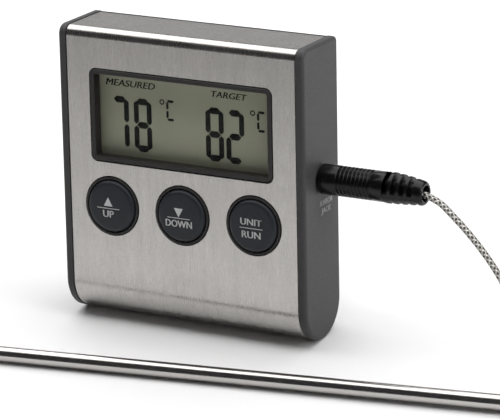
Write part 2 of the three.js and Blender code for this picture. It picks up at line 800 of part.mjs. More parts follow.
// The strain relief: a taper cut by staggered slots, which leave two webs, and sagging a little.
function strainRelief() {
  const start = plugEnd + restGap;
  const end = start + reliefLength;
  const outer = turnedX(
    [
      [0, start - reliefSpigotLength],
      [reliefSpigot, start - reliefSpigotLength],
      [reliefSpigot, start],
      [plugRadius - 0.05, start],
      [plugRadius + 0.15, start + 1.7],
      [plugRadius + 0.05, start + 4.2],
      [plugRadius - 0.3, start + 7.2],
      [plugRadius - 0.55, end - 0.6],
      [plugRadius - 0.9, end],
      [0, end],
    ],
    jackY,
    jackZ,
    20,
  );
  const bore = turnedX(
    [
      [0, end - 6],
      [cableRadius + 0.25, end - 6],
      [cableRadius + 0.25, end - 3],
      [reliefMouth, end + 0.1],
      [0, end + 0.1],
    ],
    jackY,
    jackZ,
    16,
  );
  const slots = Array.from({ length: reliefSlots }, (_, slot) => {
    const x = start + slot * reliefSlotPitch;
    return [
      ringSector(-10 * degrees, 190 * degrees, x),
      ringSector(220 * degrees, 320 * degrees, x + reliefSlotPitch / 2),
    ];
  }).flat();
  const geometry = geometryOf(cut(outer, bore, ...slots));
  const position = geometry.getAttribute("position");
  for (let i = 0; i < position.count; i += 1) {
    const along = Math.max(position.getX(i) - start, 0) / reliefLength;
    position.setZ(i, position.getZ(i) - reliefDroop * along ** 2);
  }
  return geometry;
}

// ---------------------------------------------------------------- cable and probe
// The cable's route on the table, by hand: out of the plug and down to the table, then to the coil.
const cableRun = [
  [54.6, 5.5, 38.93],
  [57, 5.5, 38.75],
  [60.2, 5.5, 38.0],
  [63.3, 5.5, 36.6],
  [65.6, 5.5, 34.5],
  [68, 5.5, 32],
  [70.3, 5.5, 29.4],
  [72.6, 5.4, 26.6],
  [74.8, 5.3, 23.6],
  [76.7, 5.2, 20.6],
  [78.5, 5.1, 17.2],
  [80.2, 5.1, 13.7],
  [82, 5.2, 10.1],
  [84, 5.5, 6.7],
  [86.6, 6.2, 3.7],
  [90, 7.8, 1.7],
  [93.4, 10.3, 0.9],
  [96.8, 13.5, 0.85],
  [100.2, 17, 0.85],
  [103.6, 20.4, 0.85],
  [107.4, 22.9, 0.85],
  [111.5, 23.7, 0.85],
];
// And from the coil to the probe's ferrule.
const cableTail = [
  [126.4, 9.5, 5.4],
  [126.9, 5.5, 4.4],
  [127, 1.5, 3.1],
  [126.8, -3, 1.8],
  [126.1, -8, 1.1],
  [124.6, -12.8, 1.1],
  [122.2, -15.6, 1.5],
  [119, -17, 2.05],
  [115.6, -17.5, 2.3],
  [112.6, -17.8, 2.3],
];

function cableTube(points) {
  const path = new THREE.CatmullRomCurve3(points.map((point) => new THREE.Vector3(...point)));
  return sweep(path, cableRadius, 8, Math.ceil(path.getLength() / (5 * cableRadius)));
}

const coilWidth = coilTurnsWide * 2 * cableRadius + 0.2;
const coilHeight = coilWidth - 0.1;

function cableCoil() {
  const [inner, outer] = [coilMeanRadius - coilWidth / 2, coilMeanRadius + coilWidth / 2];
  const section = [[inner, 0], [outer, 0], [outer, coilHeight], [inner, coilHeight], [inner, 0]];
  const geometry = new THREE.LatheGeometry(
    section.map(([r, y]) => new THREE.Vector2(r, y)),
    40,
  );
  geometry.applyMatrix4(new THREE.Matrix4().makeBasis(axisY, axisZ, axisX));
  geometry.translate(...coilCentre, coilBase);
  return geometry;
}

// A strap round the coil's turns, opposite the side where the cable comes and goes.
function cableTie() {
  const [gap, strap, breadth] = [0.25, 0.5, 3.2];
  const half = coilWidth / 2 + gap;
  const [low, high] = [coilBase - gap, coilBase + coilHeight + gap];
  const ring = cut(
    block(-half - strap, half + strap, -breadth / 2, breadth / 2, low - strap, high + strap),
    block(-half, half, -breadth, breadth, low, high),
  );
  const geometry = geometryOf(ring);
  geometry.translate(coilMeanRadius, 0, 0);
  geometry.rotateZ(235 * degrees);
  geometry.translate(...coilCentre, 0);
  return geometry;
}

// In the probe's own frame: the cable end of the tube at x = 0, the point at -X.
function probeShaft() {
  const bore = probeRadius - probeWall;
  const point = -probeLength;
  return turnedX(
    [
      [0, point],
      [0.25, point + 0.1],
      [0.62 * probeRadius, point + 0.45 * probeTipLength],
      [0.88 * probeRadius, point + 0.75 * probeTipLength],
      [probeRadius, point + probeTipLength],
      [probeRadius, -0.2],
      [probeRadius - 0.2, 0],
      [bore, 0],
      [bore, point + probeTipLength + 1],
      [0, point + probeTipLength + 1],
    ],
    0,
    0,
    20,
  );
}

function probeFerrule() {
  const crimps = [3, 5, 7].flatMap((x) => [
    [ferruleRadius, x],
    [ferruleRadius - 0.25, x + 0.5],
    [ferruleRadius, x + 1],
  ]);
  const bore = cableRadius + 0.25;
  return turnedX(
    [
      [0, -5],
      [probeRadius - probeWall - restGap, -5],
      [probeRadius - probeWall - restGap, restGap],
      [ferruleRadius - 0.4, restGap],
      [ferruleRadius, restGap + 0.4],
      ...crimps,
      [ferruleRadius, ferruleLength - 1],
      [bore + 0.3, ferruleLength],
      [bore, ferruleLength],
      [bore, 2],
      [0, 2],
    ],
    0,
    0,
    16,
  );
}

const sensorBead = () => {
  const end = -probeLength + probeTipLength + 1 + fitGap;
  const profile = [[0, 0], [0.7, 0.3], [1.1, 1.2], [1.1, 3.6], [0.5, 4.4], [0, 4.5]];
  return turnedX(profile.map(([r, x]) => [r, end + x]), 0, 0, 12);
};

// ---------------------------------------------------------------- assembly
place(unit, "steel_cover", steelCover(), "brushedSteel");
place(unit, "front_housing", frontHousing(), "darkPlastic");
place(unit, "rear_cover", rearCover(), "darkPlastic");
place(unit, "right_side_cap", sideCap([rodX(jackSide / 2, 0, caseWidth, jackY, jackZ, 32)]), "darkPlastic");
place(unit, "left_side_cap", sideCap([]), "darkPlastic").scale.x = -1;

place(unit, "display_bezel", displayBezel(), "blackPlastic");
place(unit, "display_window", rebatePlate(lensFront, lensFront + lensThickness), "lens");
place(unit, "lcd_panel", rebatePlate(lcdFront, lcdBack), "liquidCrystal");
place(unit, "upper_zebra_strip", zebraStrip(1), "rubber");
place(unit, "lower_zebra_strip", zebraStrip(-1), "rubber");

["minute", "second", "unit"].forEach((name, index) => {
  place(unit, name + "_button", buttonCap(buttonXs[index]), "button");
  place(unit, name + "_switch", tactSwitch(buttonXs[index]), "blackPlastic");
});
place(unit, "circuit_board", circuitBoard(), "board");
place(unit, "controller_chip", epoxyBlob(), "epoxy");
place(unit, "piezo_buzzer", buzzer(), "blackPlastic");
place(unit, "clock_crystal", rodX(1, 4, 10.5, boardBack + 1.1, boardTop - 7, 12), "nickel");
boardScrews.forEach(([x, z], index) => {
  const body = screw(x, z, boardBack + restGap, 1.5, 1, boardScrewRadius, 5);
  place(unit, "board_screw_" + (index + 1), body, "nickel");
});
caseScrews.forEach(([x, z], index) => {
  const body = screw(x, z, screwSeat, screwHeadRadius, 1.4, screwShankRadius, 7);
  place(unit, "case_screw_" + (index + 1), body, "nickel");
});

place(unit, "battery_cell", batteryCell(), "cellWrap");
place(unit, "battery_spring", batterySpring(), "nickel");
place(unit, "battery_plate", batteryPlate(), "nickel");
place(unit, "battery_door", batteryDoor(), "darkPlastic");
["left", "right"].forEach((side, index) => {
  const seat = magnetSeat + restGap;
  const disc = rodY(magnetRadius, seat, seat + magnetThickness, (2 * index - 1) * magnetX, magnetZ, 20);
  place(unit, side + "_magnet", disc, "nickel");
});

const hinge = new THREE.Group();
hinge.position.set(0, flapHingeY, flapHingeZ);
hinge.rotation.x = -openAngle;
unit.add(hinge);
place(hinge, "stand_flap", standFlap(), "darkPlastic");

place(unit, "jack_socket", jackSocket(), "blackPlastic");
place(unit, "plug_pin", plugPin(), "nickel");
place(unit, "plug_body", plugBody(), "blackPlastic");
place(unit, "strain_relief", strainRelief(), "blackPlastic");

place(onTable, "cable_run", cableTube(cableRun), "braid");
place(onTable, "cable_tail", cableTube(cableTail), "braid");
place(onTable, "cable_coil", cableCoil(), "braid");
place(onTable, "cable_tie", cableTie(), "blackPlastic");

const probeSlope = (ferruleRadius - probeRadius) / (probeLength - probeTipLength + ferruleLength / 2);
const probe = new THREE.Group();
probe.position.set(...probeCableEnd, ferruleRadius - (ferruleLength / 2) * probeSlope);
probe.rotation.set(0, -probeSlope, probeAngle, "ZYX");
onTable.add(probe);
place(probe, "probe_shaft", probeShaft(), "polishedSteel");
place(probe, "probe_ferrule", probeFerrule(), "polishedSteel");
place(probe, "sensor_bead", sensorBead(), "epoxy");

// The origin is at the middle of the footprint of the thermometer without its lead, on the table.
const onCable = ["cable_run", "cable_tail", "cable_coil", "cable_tie"];
const onLead = [...onCable, "plug_pin", "plug_body", "strain_relief"];
const footprint = new THREE.Box3();
part.updateMatrixWorld(true);
part.traverse((object) => {
  if (object.isMesh && !onLead.includes(object.name)) footprint.expandByObject(object, true);
});
const middle = footprint.getCenter(new THREE.Vector3());
onTable.position.set(-middle.x, -middle.y, -footprint.min.z);

export default part;
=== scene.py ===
"""A digital meat thermometer: a leaning steel-fronted case on its stand, with a wired probe on the table.

Lengths in the case's modelling functions are millimetres in the case's own upright frame, with its front
plane at y = 0, its lowest line at z = 0 and its middle at x = 0. case_frame() leans them, in metres.
"""

import json
from math import atan2, ceil, cos, hypot, pi, radians, sin

import bmesh
import bpy
from bpy.props import FloatProperty, FloatVectorProperty, IntProperty, PointerProperty
from mathutils import Matrix, Vector


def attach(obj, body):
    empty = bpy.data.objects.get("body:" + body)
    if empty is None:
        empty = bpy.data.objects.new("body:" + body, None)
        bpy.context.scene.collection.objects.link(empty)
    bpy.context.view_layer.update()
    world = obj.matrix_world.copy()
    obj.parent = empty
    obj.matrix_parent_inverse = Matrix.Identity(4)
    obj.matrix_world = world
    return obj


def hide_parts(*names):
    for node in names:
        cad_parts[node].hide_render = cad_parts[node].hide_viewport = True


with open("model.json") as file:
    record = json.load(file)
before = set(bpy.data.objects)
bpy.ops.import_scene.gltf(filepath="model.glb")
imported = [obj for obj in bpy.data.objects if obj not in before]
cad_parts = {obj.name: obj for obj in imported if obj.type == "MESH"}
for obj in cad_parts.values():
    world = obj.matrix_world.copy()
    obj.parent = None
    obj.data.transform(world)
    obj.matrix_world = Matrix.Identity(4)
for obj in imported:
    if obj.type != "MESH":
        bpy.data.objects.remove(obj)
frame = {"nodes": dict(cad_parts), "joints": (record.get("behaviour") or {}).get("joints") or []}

bl_info = {
    "name": "Meat thermometer",
    "version": (1, 0, 0),
    "blender": (4, 5, 0),
    "location": "View3D > Sidebar > Thermometer",
    "description": "Builds a probe thermometer round its packed parts",
    "category": "Object",
}

MM = 0.001

# ---------------------------------------------------------------- sizes in millimetres
CASE_DEPTH = 17.5
CASE_HEIGHT = 72
BOTTOM_RADIUS = CASE_DEPTH / 2
TOP_FRONT_RADIUS = 2.5
TOP_BACK_RADIUS = 1.2
HALF_WIDTH = 33
CAP_THICKNESS = 2.05
STEEL_INSET = 0.15
STEEL_THICKNESS = 0.5
STEEL_HALF_WIDTH = 30.75
SPLIT_Y = 15.8
STEEL_WRAP_PAST_BOTTOM = radians(60)
WINDOW_WIDTH = 49.4
WINDOW_HEIGHT = 22.9
WINDOW_CENTRE_Z = 50.8
WINDOW_CORNER = 1.8
BUTTON_CENTRES = (-19.3, 0, 19.3)
BUTTON_CENTRE_Z = 28.6
BUTTON_HOLE_RADIUS = 7.37
BUTTON_RADIUS = 6.37
JACK_Y = 8.9
JACK_Z = 39.5
JACK_HOLE_RADIUS = 2.9
PLUG_RADIUS = 3.62
PLUG_END = 50.2
RELIEF_LENGTH = 9.6
RELIEF_DROOP = 0.4
STAND_HINGE = (16.45, 24.2)
LCD_FRONT = 3.5
CABLE_RADIUS = 0.8
PROBE_END = (104, -18.76)
PROBE_ANGLE = radians(6.4)
PROBE_LENGTH = 160
PROBE_RADIUS = 1.9
PROBE_TIP = 9
FERRULE_RADIUS = 2.3
FERRULE_LENGTH = 12
BUTTON_CROWN = 0.12
PRINT_THICKNESS = 0.012
PRINT_LIFT = 0.004
READINGS = ((-20.85, "abc"), (-14.6, "abcdefg"), (4.95, "abcdefg"), (10.45, "abged"))
READING_LOW = 42.0
DEGREE_MARKS = (-6.75, 17.7)
DEGREE_TOP = 55.55
CAPTION_CENTRE_Z = 58.4
FONT_CAPITALS = 0.7
BOLDNESS = 0.07
SLANT = 0.2

SHARP_ANGLE = radians(35)
NEAR = 1e-4


def colour(name, description, default):
    return FloatVectorProperty(
        name=name, description=description, default=default, size=3, min=0, max=1, subtype="COLOR"
    )


def length(name, description, default):
    return FloatProperty(name=name, description=description, default=default * MM, min=0, unit="LENGTH")


def angle(name, description, default):
    return FloatProperty(name=name, description=description, default=radians(default), unit="ROTATION")


def share(name, description, default):
    return FloatProperty(
        name=name, description=description, default=default, min=0, max=1, subtype="FACTOR"
    )


class CaseSettings(bpy.types.PropertyGroup):
    """Sizes and colours of the case."""

    lean: angle("Lean", "How far the case leans back on its stand", 10)
    cap_edge: length("Cap edge", "Radius of the side caps' outer edge", 0.9)
    steel_edge: length("Steel edge", "Rounding of the steel's cut edges", 0.12)
    steel: colour("Steel", "Colour of the brushed steel", (0.47, 0.452, 0.434))
    steel_roughness: share("Steel roughness", "How soft its reflections are", 0.27)
    plastic: colour("Plastic", "Colour of the caps, cover, door and stand", (0.056, 0.054, 0.056))
    bezel: colour("Bezel", "Colour of the frame round the display", (0.024, 0.022, 0.021))


class DisplaySettings(bpy.types.PropertyGroup):
    """Sizes and colours of the display."""

    digit_width: length("Digit width", "Width of a large digit", 5)
    digit_height: length("Digit height", "Height of a large digit", 13.1)
    stroke: length("Stroke", "Width of a segment", 1.6)
    back: colour("Background", "Colour of the liquid crystal", (0.5, 0.515, 0.38))
    segment: colour("Segments", "Colour of a segment that is on", (0.004, 0.004, 0.005))


class ButtonSettings(bpy.types.PropertyGroup):
    """Sizes and colours of the buttons."""

    rise: length("Rise", "How far a button stands in front of the steel", 1)
    edge: length("Edge", "Radius of a button's soft edge", 1.1)
    cap: colour("Cap", "Colour of the buttons", (0.02, 0.022, 0.028))
    print: colour("Print", "Colour of the printed marks", (0.62, 0.62, 0.62))


class LeadSettings(bpy.types.PropertyGroup):
    """Sizes and colours of the plug, the cable and the probe."""

    cable_length: length("Cable length", "From the plug to the probe", 960)
    coil_turns: IntProperty(name="Turns", description="Turns in the coil", default=16, min=4, max=24)
    coil_radius: length("Coil radius", "Radius at the middle of the turns", 8.8)
    plug: colour("Plug", "Colour of the plug and strain relief", (0.004, 0.004, 0.0045))
    braid: colour("Braid", "Colour of the cable's steel braid", (0.62, 0.6, 0.56))
    probe: colour("Probe", "Colour of the probe", (0.48, 0.46, 0.445))


class StageSettings(bpy.types.PropertyGroup):
    """Camera and floor."""

    azimuth: angle("Azimuth", "Camera's turn to the right of square-on, in the case's own frame", 29.093)
    elevation: angle("Elevation", "Camera's height angle, in the case's own frame", 16.533)
    roll: angle("Roll", "Camera's turn about its own axis", -1.125)
    distance: length("Distance", "From the camera to what it looks at", 802.8)
    lens: FloatProperty(name="Lens", description="Focal length", default=247.03, min=1, unit="CAMERA")
    floor: colour("Floor", "Colour of the table", (0.86, 0.86, 0.86))


def settings():
    return bpy.context.scene.thermometer


def mm(metres):
    return metres / MM


# ---------------------------------------------------------------- places
def case_frame():
    """From millimetres in the case's own upright frame to the leaning case in metres."""
    lean = Matrix.Rotation(-settings().case.lean, 4, "X")
    hinge = next(j for j in frame["joints"] if j["name"] == "stand_hinge")
    corner = Vector(hinge["pos_m"]) - lean @ (Vector((0, *STAND_HINGE)) * MM)
    return Matrix.Translation(corner) @ lean @ Matrix.Scale(MM, 4)


def table_frame():
    """From millimetres on the table, with the case's line of contact at y = 0, to the frame in metres."""
    lean = settings().case.lean
    back, up = -(cos(lean) + sin(lean)), 1 + sin(lean) - cos(lean)
    corner = Vector((0, BOTTOM_RADIUS * back, BOTTOM_RADIUS * up))
    return Matrix.Translation(case_frame().translation - corner * MM) @ Matrix.Scale(MM, 4)


def probe_frame():
    """From millimetres along the probe, cable end at x = 0 and point at -x, to the frame in metres."""
    slope = (FERRULE_RADIUS - PROBE_RADIUS) / (PROBE_LENGTH - PROBE_TIP + FERRULE_LENGTH / 2)
    rise = FERRULE_RADIUS - FERRULE_LENGTH / 2 * slope
    turn = Matrix.Rotation(PROBE_ANGLE, 4, "Z") @ Matrix.Rotation(-slope, 4, "Y")
    return table_frame() @ Matrix.Translation((*PROBE_END, rise)) @ turn


# ---------------------------------------------------------------- modelling
def loose(geometry, kind):
    return [item for item in geometry if isinstance(item, kind)]


def shift(bm, move, verts=None):
    bmesh.ops.translate(bm, vec=move, verts=bm.verts if verts is None else verts)
    return bm


def rounded(bm, geometry, radius, steps, kind):
    """Rounds corners or edges, as kind says: VERTICES or EDGES."""
    bmesh.ops.bevel(
        bm,
        geom=geometry,
        offset=radius,
        offset_type="OFFSET",
        segments=steps,
        profile=0.5,
        affect=kind,
        material=-1,
    )


def rounded_plate(bm, centre, size, corners, steps=8):
    """A flat face in x and y. corners maps (right, high) signs to radii, and every corner is an arc."""
    made = bmesh.ops.create_grid(bm, x_segments=1, y_segments=1, size=0.5)["verts"]
    bmesh.ops.scale(bm, vec=(*size, 1), verts=made)
    shift(bm, (*centre, 0), made)
    for (right, high), radius in corners.items():
        corner = max(made, key=lambda v: (v.co.x - centre[0]) * right + (v.co.y - centre[1]) * high)
        made.remove(corner)
        rounded(bm, [corner], radius, steps, "VERTICES")


def same_corners(radius):
    return {(right, high): radius for right in (-1, 1) for high in (-1, 1)}


def upright(bm):
    """Stands a drawing in x and y up in x and z, facing -y."""
    bmesh.ops.rotate(bm, cent=(0, 0, 0), matrix=Matrix.Rotation(pi / 2, 3, "X"), verts=bm.verts)
    return bm


def sideways(bm):
    """Stands a drawing in x and y up in y and z, facing +x."""
    turn = Matrix(((0, 0, 1), (1, 0, 0), (0, 1, 0)))
    bmesh.ops.rotate(bm, cent=(0, 0, 0), matrix=turn, verts=bm.verts)


def turned(profile, steps=64):
    """A solid of revolution about x, from (radius, x) pairs."""
    bm = bmesh.new()
    verts = [bm.verts.new((x, radius, 0)) for radius, x in profile]
    for pair in zip(verts, verts[1:]):
        bm.edges.new(pair)
    bmesh.ops.spin(
        bm,
        geom=bm.verts[:] + bm.edges[:],
        cent=(0, 0, 0),
        axis=(1, 0, 0),
        angle=2 * pi,
        steps=steps,
        use_merge=True,
    )
    bmesh.ops.remove_doubles(bm, verts=bm.verts, dist=1e-4)
    bmesh.ops.recalc_face_normals(bm, faces=bm.faces)
    return bm


def along_x(bm, y, z):
    return shift(bm, (0, y, z))


def facing_front(bm, x, z):
    """Turns a solid of revolution's axis from x to y and moves it to (x, z)."""
    bmesh.ops.rotate(bm, cent=(0, 0, 0), matrix=Matrix.Rotation(pi / 2, 3, "Z"), verts=bm.verts)
    return shift(bm, (x, 0, z))


def finish(name, bm, place, finish_name, body, replaces=()):
    """Turns a bmesh into a finished piece: placed, shaded, coloured and riding on its body."""
    bmesh.ops.remove_doubles(bm, verts=bm.verts, dist=1e-5)
    bm.normal_update()
    curved = [max(abs(part) for part in face.normal) < 0.9999 for face in bm.faces]
    mesh = bpy.data.meshes.new(name)
    bm.to_mesh(mesh)
    bm.free()
    mesh.transform(place)
    mesh.set_sharp_from_angle(angle=SHARP_ANGLE)
    mesh.polygons.foreach_set("use_smooth", curved)
    mesh.materials.append(finishes()[finish_name])
    piece = bpy.data.objects.new(name, mesh)
    bpy.context.scene.collection.objects.link(piece)
    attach(piece, body)
    if replaces:
        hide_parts(*replaces)
    return piece


def modifier(piece, kind, **values):
    added = piece.modifiers.new(kind.title(), kind)
    for name, value in values.items():
        setattr(added, name, value)


def soften(piece, width, steps=2, limit=40):
    """Rounds a piece's hard edges by a width in millimetres, and keeps its flats looking flat."""
    modifier(
        piece,
        "BEVEL",
        width=width * MM,
        segments=steps,
        limit_method="ANGLE",
        angle_limit=radians(limit),
        harden_normals=True,
    )
    return piece


def dressed_copy(node, finish_name, body, edge=0.1):
    """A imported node's shape, merged, with its flats made whole and its edges rounded."""
    bm = bmesh.new()
    bm.from_mesh(frame["nodes"][node].data)
    bmesh.ops.scale(bm, vec=(1 / MM, 1 / MM, 1 / MM), verts=bm.verts)
    bmesh.ops.remove_doubles(bm, verts=bm.verts, dist=1e-3)
    bmesh.ops.dissolve_limit(bm, angle_limit=radians(1), verts=bm.verts, edges=bm.edges)
    piece = finish(node + "_dressed", bm, Matrix.Scale(MM, 4), finish_name, body, [node])
    return soften(piece, edge) if edge else piece


# ---------------------------------------------------------------- finishes
class Finish:
    """A material's node tree, with short calls for what these finishes use."""

    def __init__(self, name, base, roughness, metallic=0.0, specular=0.5, alpha=1.0, grain=0.0):
        self.name = name
        self.material = bpy.data.materials.new(name)
        self.material.use_nodes = True
        self.tree = self.material.node_tree
        self.shader = self.tree.nodes["Principled BSDF"]
        self.set(self.shader, "Base Color", (*base[:3], 1))
        self.set(self.shader, "Roughness", roughness)
        self.set(self.shader, "Metallic", metallic)
        self.set(self.shader, "Specular IOR Level", specular)
        self.set(self.shader, "Alpha", alpha)
        self.set(self.shader, "Anisotropic", grain)

    def set(self, node, socket, value):
        if isinstance(value, bpy.types.NodeSocket):
            self.tree.links.new(value, node.inputs[socket])
        else:
            node.inputs[socket].default_value = value

    def node(self, kind, inputs=(), **values):
        made = self.tree.nodes.new("ShaderNode" + kind)
        for name, value in values.items():
            setattr(made, name, value)
        for socket, value in dict(inputs).items():
            self.set(made, socket, value)
        return made

    def place(self, scale=(1, 1, 1), uv=False):
        """Where a point is, in millimetres, stretched."""
        source = self.node("TexCoord").outputs["UV" if uv else "Object"]
        unit = 1 if uv else 1 / MM
        inputs = {"Vector": source, "Scale": [unit * s for s in scale]}
        return self.node("Mapping", inputs).outputs["Vector"]

    def noise(self, place, scale, detail=3.0, roughness=0.55):
        inputs = {"Vector": place, "Scale": scale, "Detail": detail, "Roughness": roughness}
        return self.node("TexNoise", inputs).outputs["Fac"]

    def spread(self, value, low, high, start=0.3, end=0.7):
        """Maps a texture's middle range to low..high."""
        inputs = {"Value": value, "From Min": start, "From Max": end, "To Min": low, "To Max": high}
        return self.node("MapRange", inputs).outputs["Result"]

    def math(self, operation, first, second=0.0):
        made = self.node("Math", operation=operation)
        self.set(made, 0, first)
        self.set(made, 1, second)
        return made.outputs["Value"]

    def blend(self, amount, first, second):
        """Mixes two colours."""
        made = self.node("Mix", data_type="RGBA")
        for index, value in ((0, amount), (6, first), (7, second)):
            self.set(made, index, value if not isinstance(value, tuple) else (*value[:3], 1))
        return made.outputs[2]

    def shade(self, base, amount):
        """The base colour times a grey amount."""
        made = self.node("Mix", data_type="RGBA", blend_type="MULTIPLY")
        self.set(made, 0, 1.0)
        self.set(made, 6, (*base[:3], 1))
        self.set(made, 7, amount)
        return made.outputs[2]

    def colour(self, value):
        self.set(self.shader, "Base Color", value)

    def tint(self, base, value, low, high):
        """Varies the base colour with a texture, between two shares of itself."""
        self.colour(self.shade(base, self.spread(value, low, high)))

    def roughness(self, value):
        self.set(self.shader, "Roughness", value)

    def bump(self, height, strength, depth):
        """Raises the surface by up to depth millimetres."""
        made = self.node("Bump", {"Height": height, "Strength": strength, "Distance": depth * MM})
        self.set(self.shader, "Normal", made.outputs["Normal"])


def brushed_steel():
    """Sheet brushed up the front and over the top, with long fine scratches and faint handling marks."""
    case = settings().case
    look = Finish("brushed_steel", case.steel, case.steel_roughness, 1.0, grain=0.5)
    streaks = look.noise(look.place((1, 0.03, 0.03)), 7.0, 4.0, 0.7)
    broad = look.noise(look.place((1, 0.05, 0.05)), 0.5, 2.0)
    marks = look.noise(look.place(), 0.09, 3.0)
    grit = look.noise(look.place((1, 0.35, 0.35)), 4.5, 2.0)
    tone = look.math("MULTIPLY", look.spread(streaks, 0.9, 1.06), look.spread(broad, 0.955, 1.03))
    tone = look.math("MULTIPLY", tone, look.spread(grit, 0.93, 1.05))
    look.colour(look.shade(case.steel, tone))
    base = look.spread(marks, case.steel_roughness * 0.9, case.steel_roughness * 1.12)
    look.roughness(look.math("MULTIPLY", base, look.spread(streaks, 1.12, 0.9)))
    look.bump(streaks, 0.35, 0.006)
    across = look.node("CombineXYZ", {"X": 1.0}).outputs["Vector"]
    look.set(look.shader, "Tangent", across)
    return look


def case_plastic():
    """Dark moulded plastic with a fine spark-eroded texture and paler flecks."""
    base = settings().case.plastic
    look = Finish("case_plastic", base, 0.5, specular=0.25)
    place = look.place()
    fine = look.noise(place, 5.5, 2.0, 0.6)
    broad = look.noise(place, 0.12, 2.0)
    tone = look.math("MULTIPLY", look.spread(fine, 0.86, 1.16), look.spread(broad, 0.96, 1.04))
    look.colour(look.shade(base, tone))
    look.roughness(look.spread(fine, 0.6, 0.42))
    look.bump(fine, 0.5, 0.02)
    return look


def bezel_plastic():
    base = settings().case.bezel
    look = Finish("bezel_plastic", base, 0.4, specular=0.3)
    fine = look.noise(look.place(), 6.0, 2.0)
    look.tint(base, fine, 0.85, 1.15)
    look.roughness(look.spread(fine, 0.4, 0.28))
    look.bump(fine, 0.3, 0.008)
    return look


def button_plastic():
    """Soft-touch caps: nearly matt, with a fine even grain."""
    base = settings().buttons.cap
    look = Finish("button_plastic", base, 0.42, specular=0.28)
    place = look.place()
    grain = look.noise(place, 8.0, 2.0)
    wear = look.noise(place, 0.4, 3.0)
    look.tint(base, grain, 0.88, 1.14)
    look.roughness(look.math("MULTIPLY", look.spread(grain, 0.47, 0.4), look.spread(wear, 0.92, 1.1)))
    look.bump(grain, 0.4, 0.008)
    return look


def plug_plastic():
    """Black moulded vinyl with flow lines and a slight bloom."""
    base = settings().lead.plug
    look = Finish("plug_plastic", base, 0.26, specular=0.25)
    place = look.place()
    bloom = look.noise(place, 0.7, 4.0)
    fine = look.noise(place, 7.0, 2.0)
    look.tint(base, bloom, 0.8, 1.3)
    look.roughness(look.math("ADD", look.spread(bloom, 0.2, 0.25), look.spread(fine, 0.0, 0.06)))
    look.bump(fine, 0.35, 0.012)
    return look


def white_print():
    """Pad-printed marks: thin, slightly uneven ink."""
    base = settings().buttons.print
    look = Finish("white_print", base, 0.55)
    ink = look.noise(look.place(), 5.0, 3.0)
    look.tint(base, ink, 0.85, 1.05)
    look.bump(ink, 0.2, 0.004)
    return look


def clear_window():
    """A thin clear cover that barely veils what is behind it."""
    look = Finish("clear_window", (0.05, 0.055, 0.045), 0.05, specular=0.3, alpha=0.1)
    haze = look.noise(look.place(), 0.5, 3.0)
    look.roughness(look.spread(haze, 0.04, 0.1))
    return look


def liquid_crystal():
    """The grey-green reflector behind the segments, with its fine sparkle."""
    base = settings().display.back
    look = Finish("liquid_crystal", base, 0.5, specular=0.1)
    place = look.place()
    grain = look.noise(place, 11.0, 2.0)
    cloud = look.noise(place, 0.06, 2.0)
    tone = look.math("MULTIPLY", look.spread(grain, 0.95, 1.05), look.spread(cloud, 0.93, 1.06))
    look.colour(look.shade(base, tone))
    look.bump(grain, 0.15, 0.004)
    return look


def display_segment():
    base = settings().display.segment
    look = Finish("display_segment", base, 0.5, specular=0.05)
    grain = look.noise(look.place(), 11.0, 2.0)
    look.tint(base, grain, 0.8, 1.2)
    return look


def polished_steel():
    """Drawn tube, polished along its length, with fine lines and a few soft marks."""
    base = settings().lead.probe
    look = Finish("polished_steel", base, 0.17, 1.0)
    lines = look.noise(look.place((0.03, 1, 1)), 6.0, 3.0)
    marks = look.noise(look.place(), 0.25, 4.0)
    look.tint(base, lines, 0.93, 1.05)
    look.roughness(look.math("ADD", look.spread(lines, 0.13, 0.2), look.spread(marks, -0.02, 0.06)))
    look.bump(lines, 0.25, 0.004)
    return look


def nickel():
    base = (0.6, 0.57, 0.52)
    look = Finish("nickel", base, 0.25, 1.0)
    marks = look.noise(look.place(), 1.5, 4.0)
    look.tint(base, marks, 0.88, 1.05)
    look.roughness(look.spread(marks, 0.2, 0.36))
    look.bump(marks, 0.2, 0.006)
    return look


def steel_braid():
    """Woven wire: two sets of strands wound opposite ways, crossing over and under, with painted shade in
    the weave's low parts.
    """
    base = settings().lead.braid
    look = Finish("steel_braid", base, 0.28, 1.0)
    parts = look.node("SeparateXYZ", {"Vector": look.place(uv=True)}).outputs
    around = look.math("MULTIPLY", parts["Y"], 8 * pi)
    along = look.math("MULTIPLY", parts["X"], 2 * pi * mm(settings().lead.cable_length) / 1.25)
    one = look.math("SINE", look.math("ADD", around, along))
    other = look.math("SINE", look.math("SUBTRACT", around, along))
    weave = look.math("MAXIMUM", one, other)
    wires = look.math("SINE", look.math("MULTIPLY", look.math("ADD", around, along), 5.0))
    height = look.math("ADD", weave, look.math("MULTIPLY", wires, 0.12))
    # painted shade: the colour darkens towards the low parts of the weave, where the strands cross
    painted_valley_shade = look.spread(weave, 0.16, 1.0, -0.1, 0.75)
    look.colour(look.shade(base, painted_valley_shade))
    look.roughness(look.spread(weave, 0.5, 0.22, 0, 1))
    look.bump(height, 1.0, 0.12)
    return look


def solder_mask():
    """The board's green varnish over its tracks."""
    base, copper_track = (0.015, 0.1, 0.04), (0.05, 0.2, 0.06)
    look = Finish("solder_mask", base, 0.3)
    place = look.place()
    tracks = look.node("TexBrick", {"Vector": place, "Scale": 0.35}).outputs["Fac"]
    mottle = look.noise(place, 1.2, 3.0)
    lit = look.shade(base, look.spread(mottle, 0.85, 1.1))
    look.colour(look.blend(look.math("MULTIPLY", tracks, 0.5), lit, copper_track))
    look.bump(tracks, 0.3, 0.03)
    return look


def speckled(name, base, roughness, scale, depth, metallic=0.0):
    """A plain moulded finish with its own grain, for the pieces inside."""
    look = Finish(name, base, roughness, metallic)
    grain = look.noise(look.place(), scale, 3.0)
    look.tint(base, grain, 0.85, 1.12)
    look.roughness(look.spread(grain, roughness * 1.15, roughness * 0.85))
    look.bump(grain, 0.3, depth)
    return look


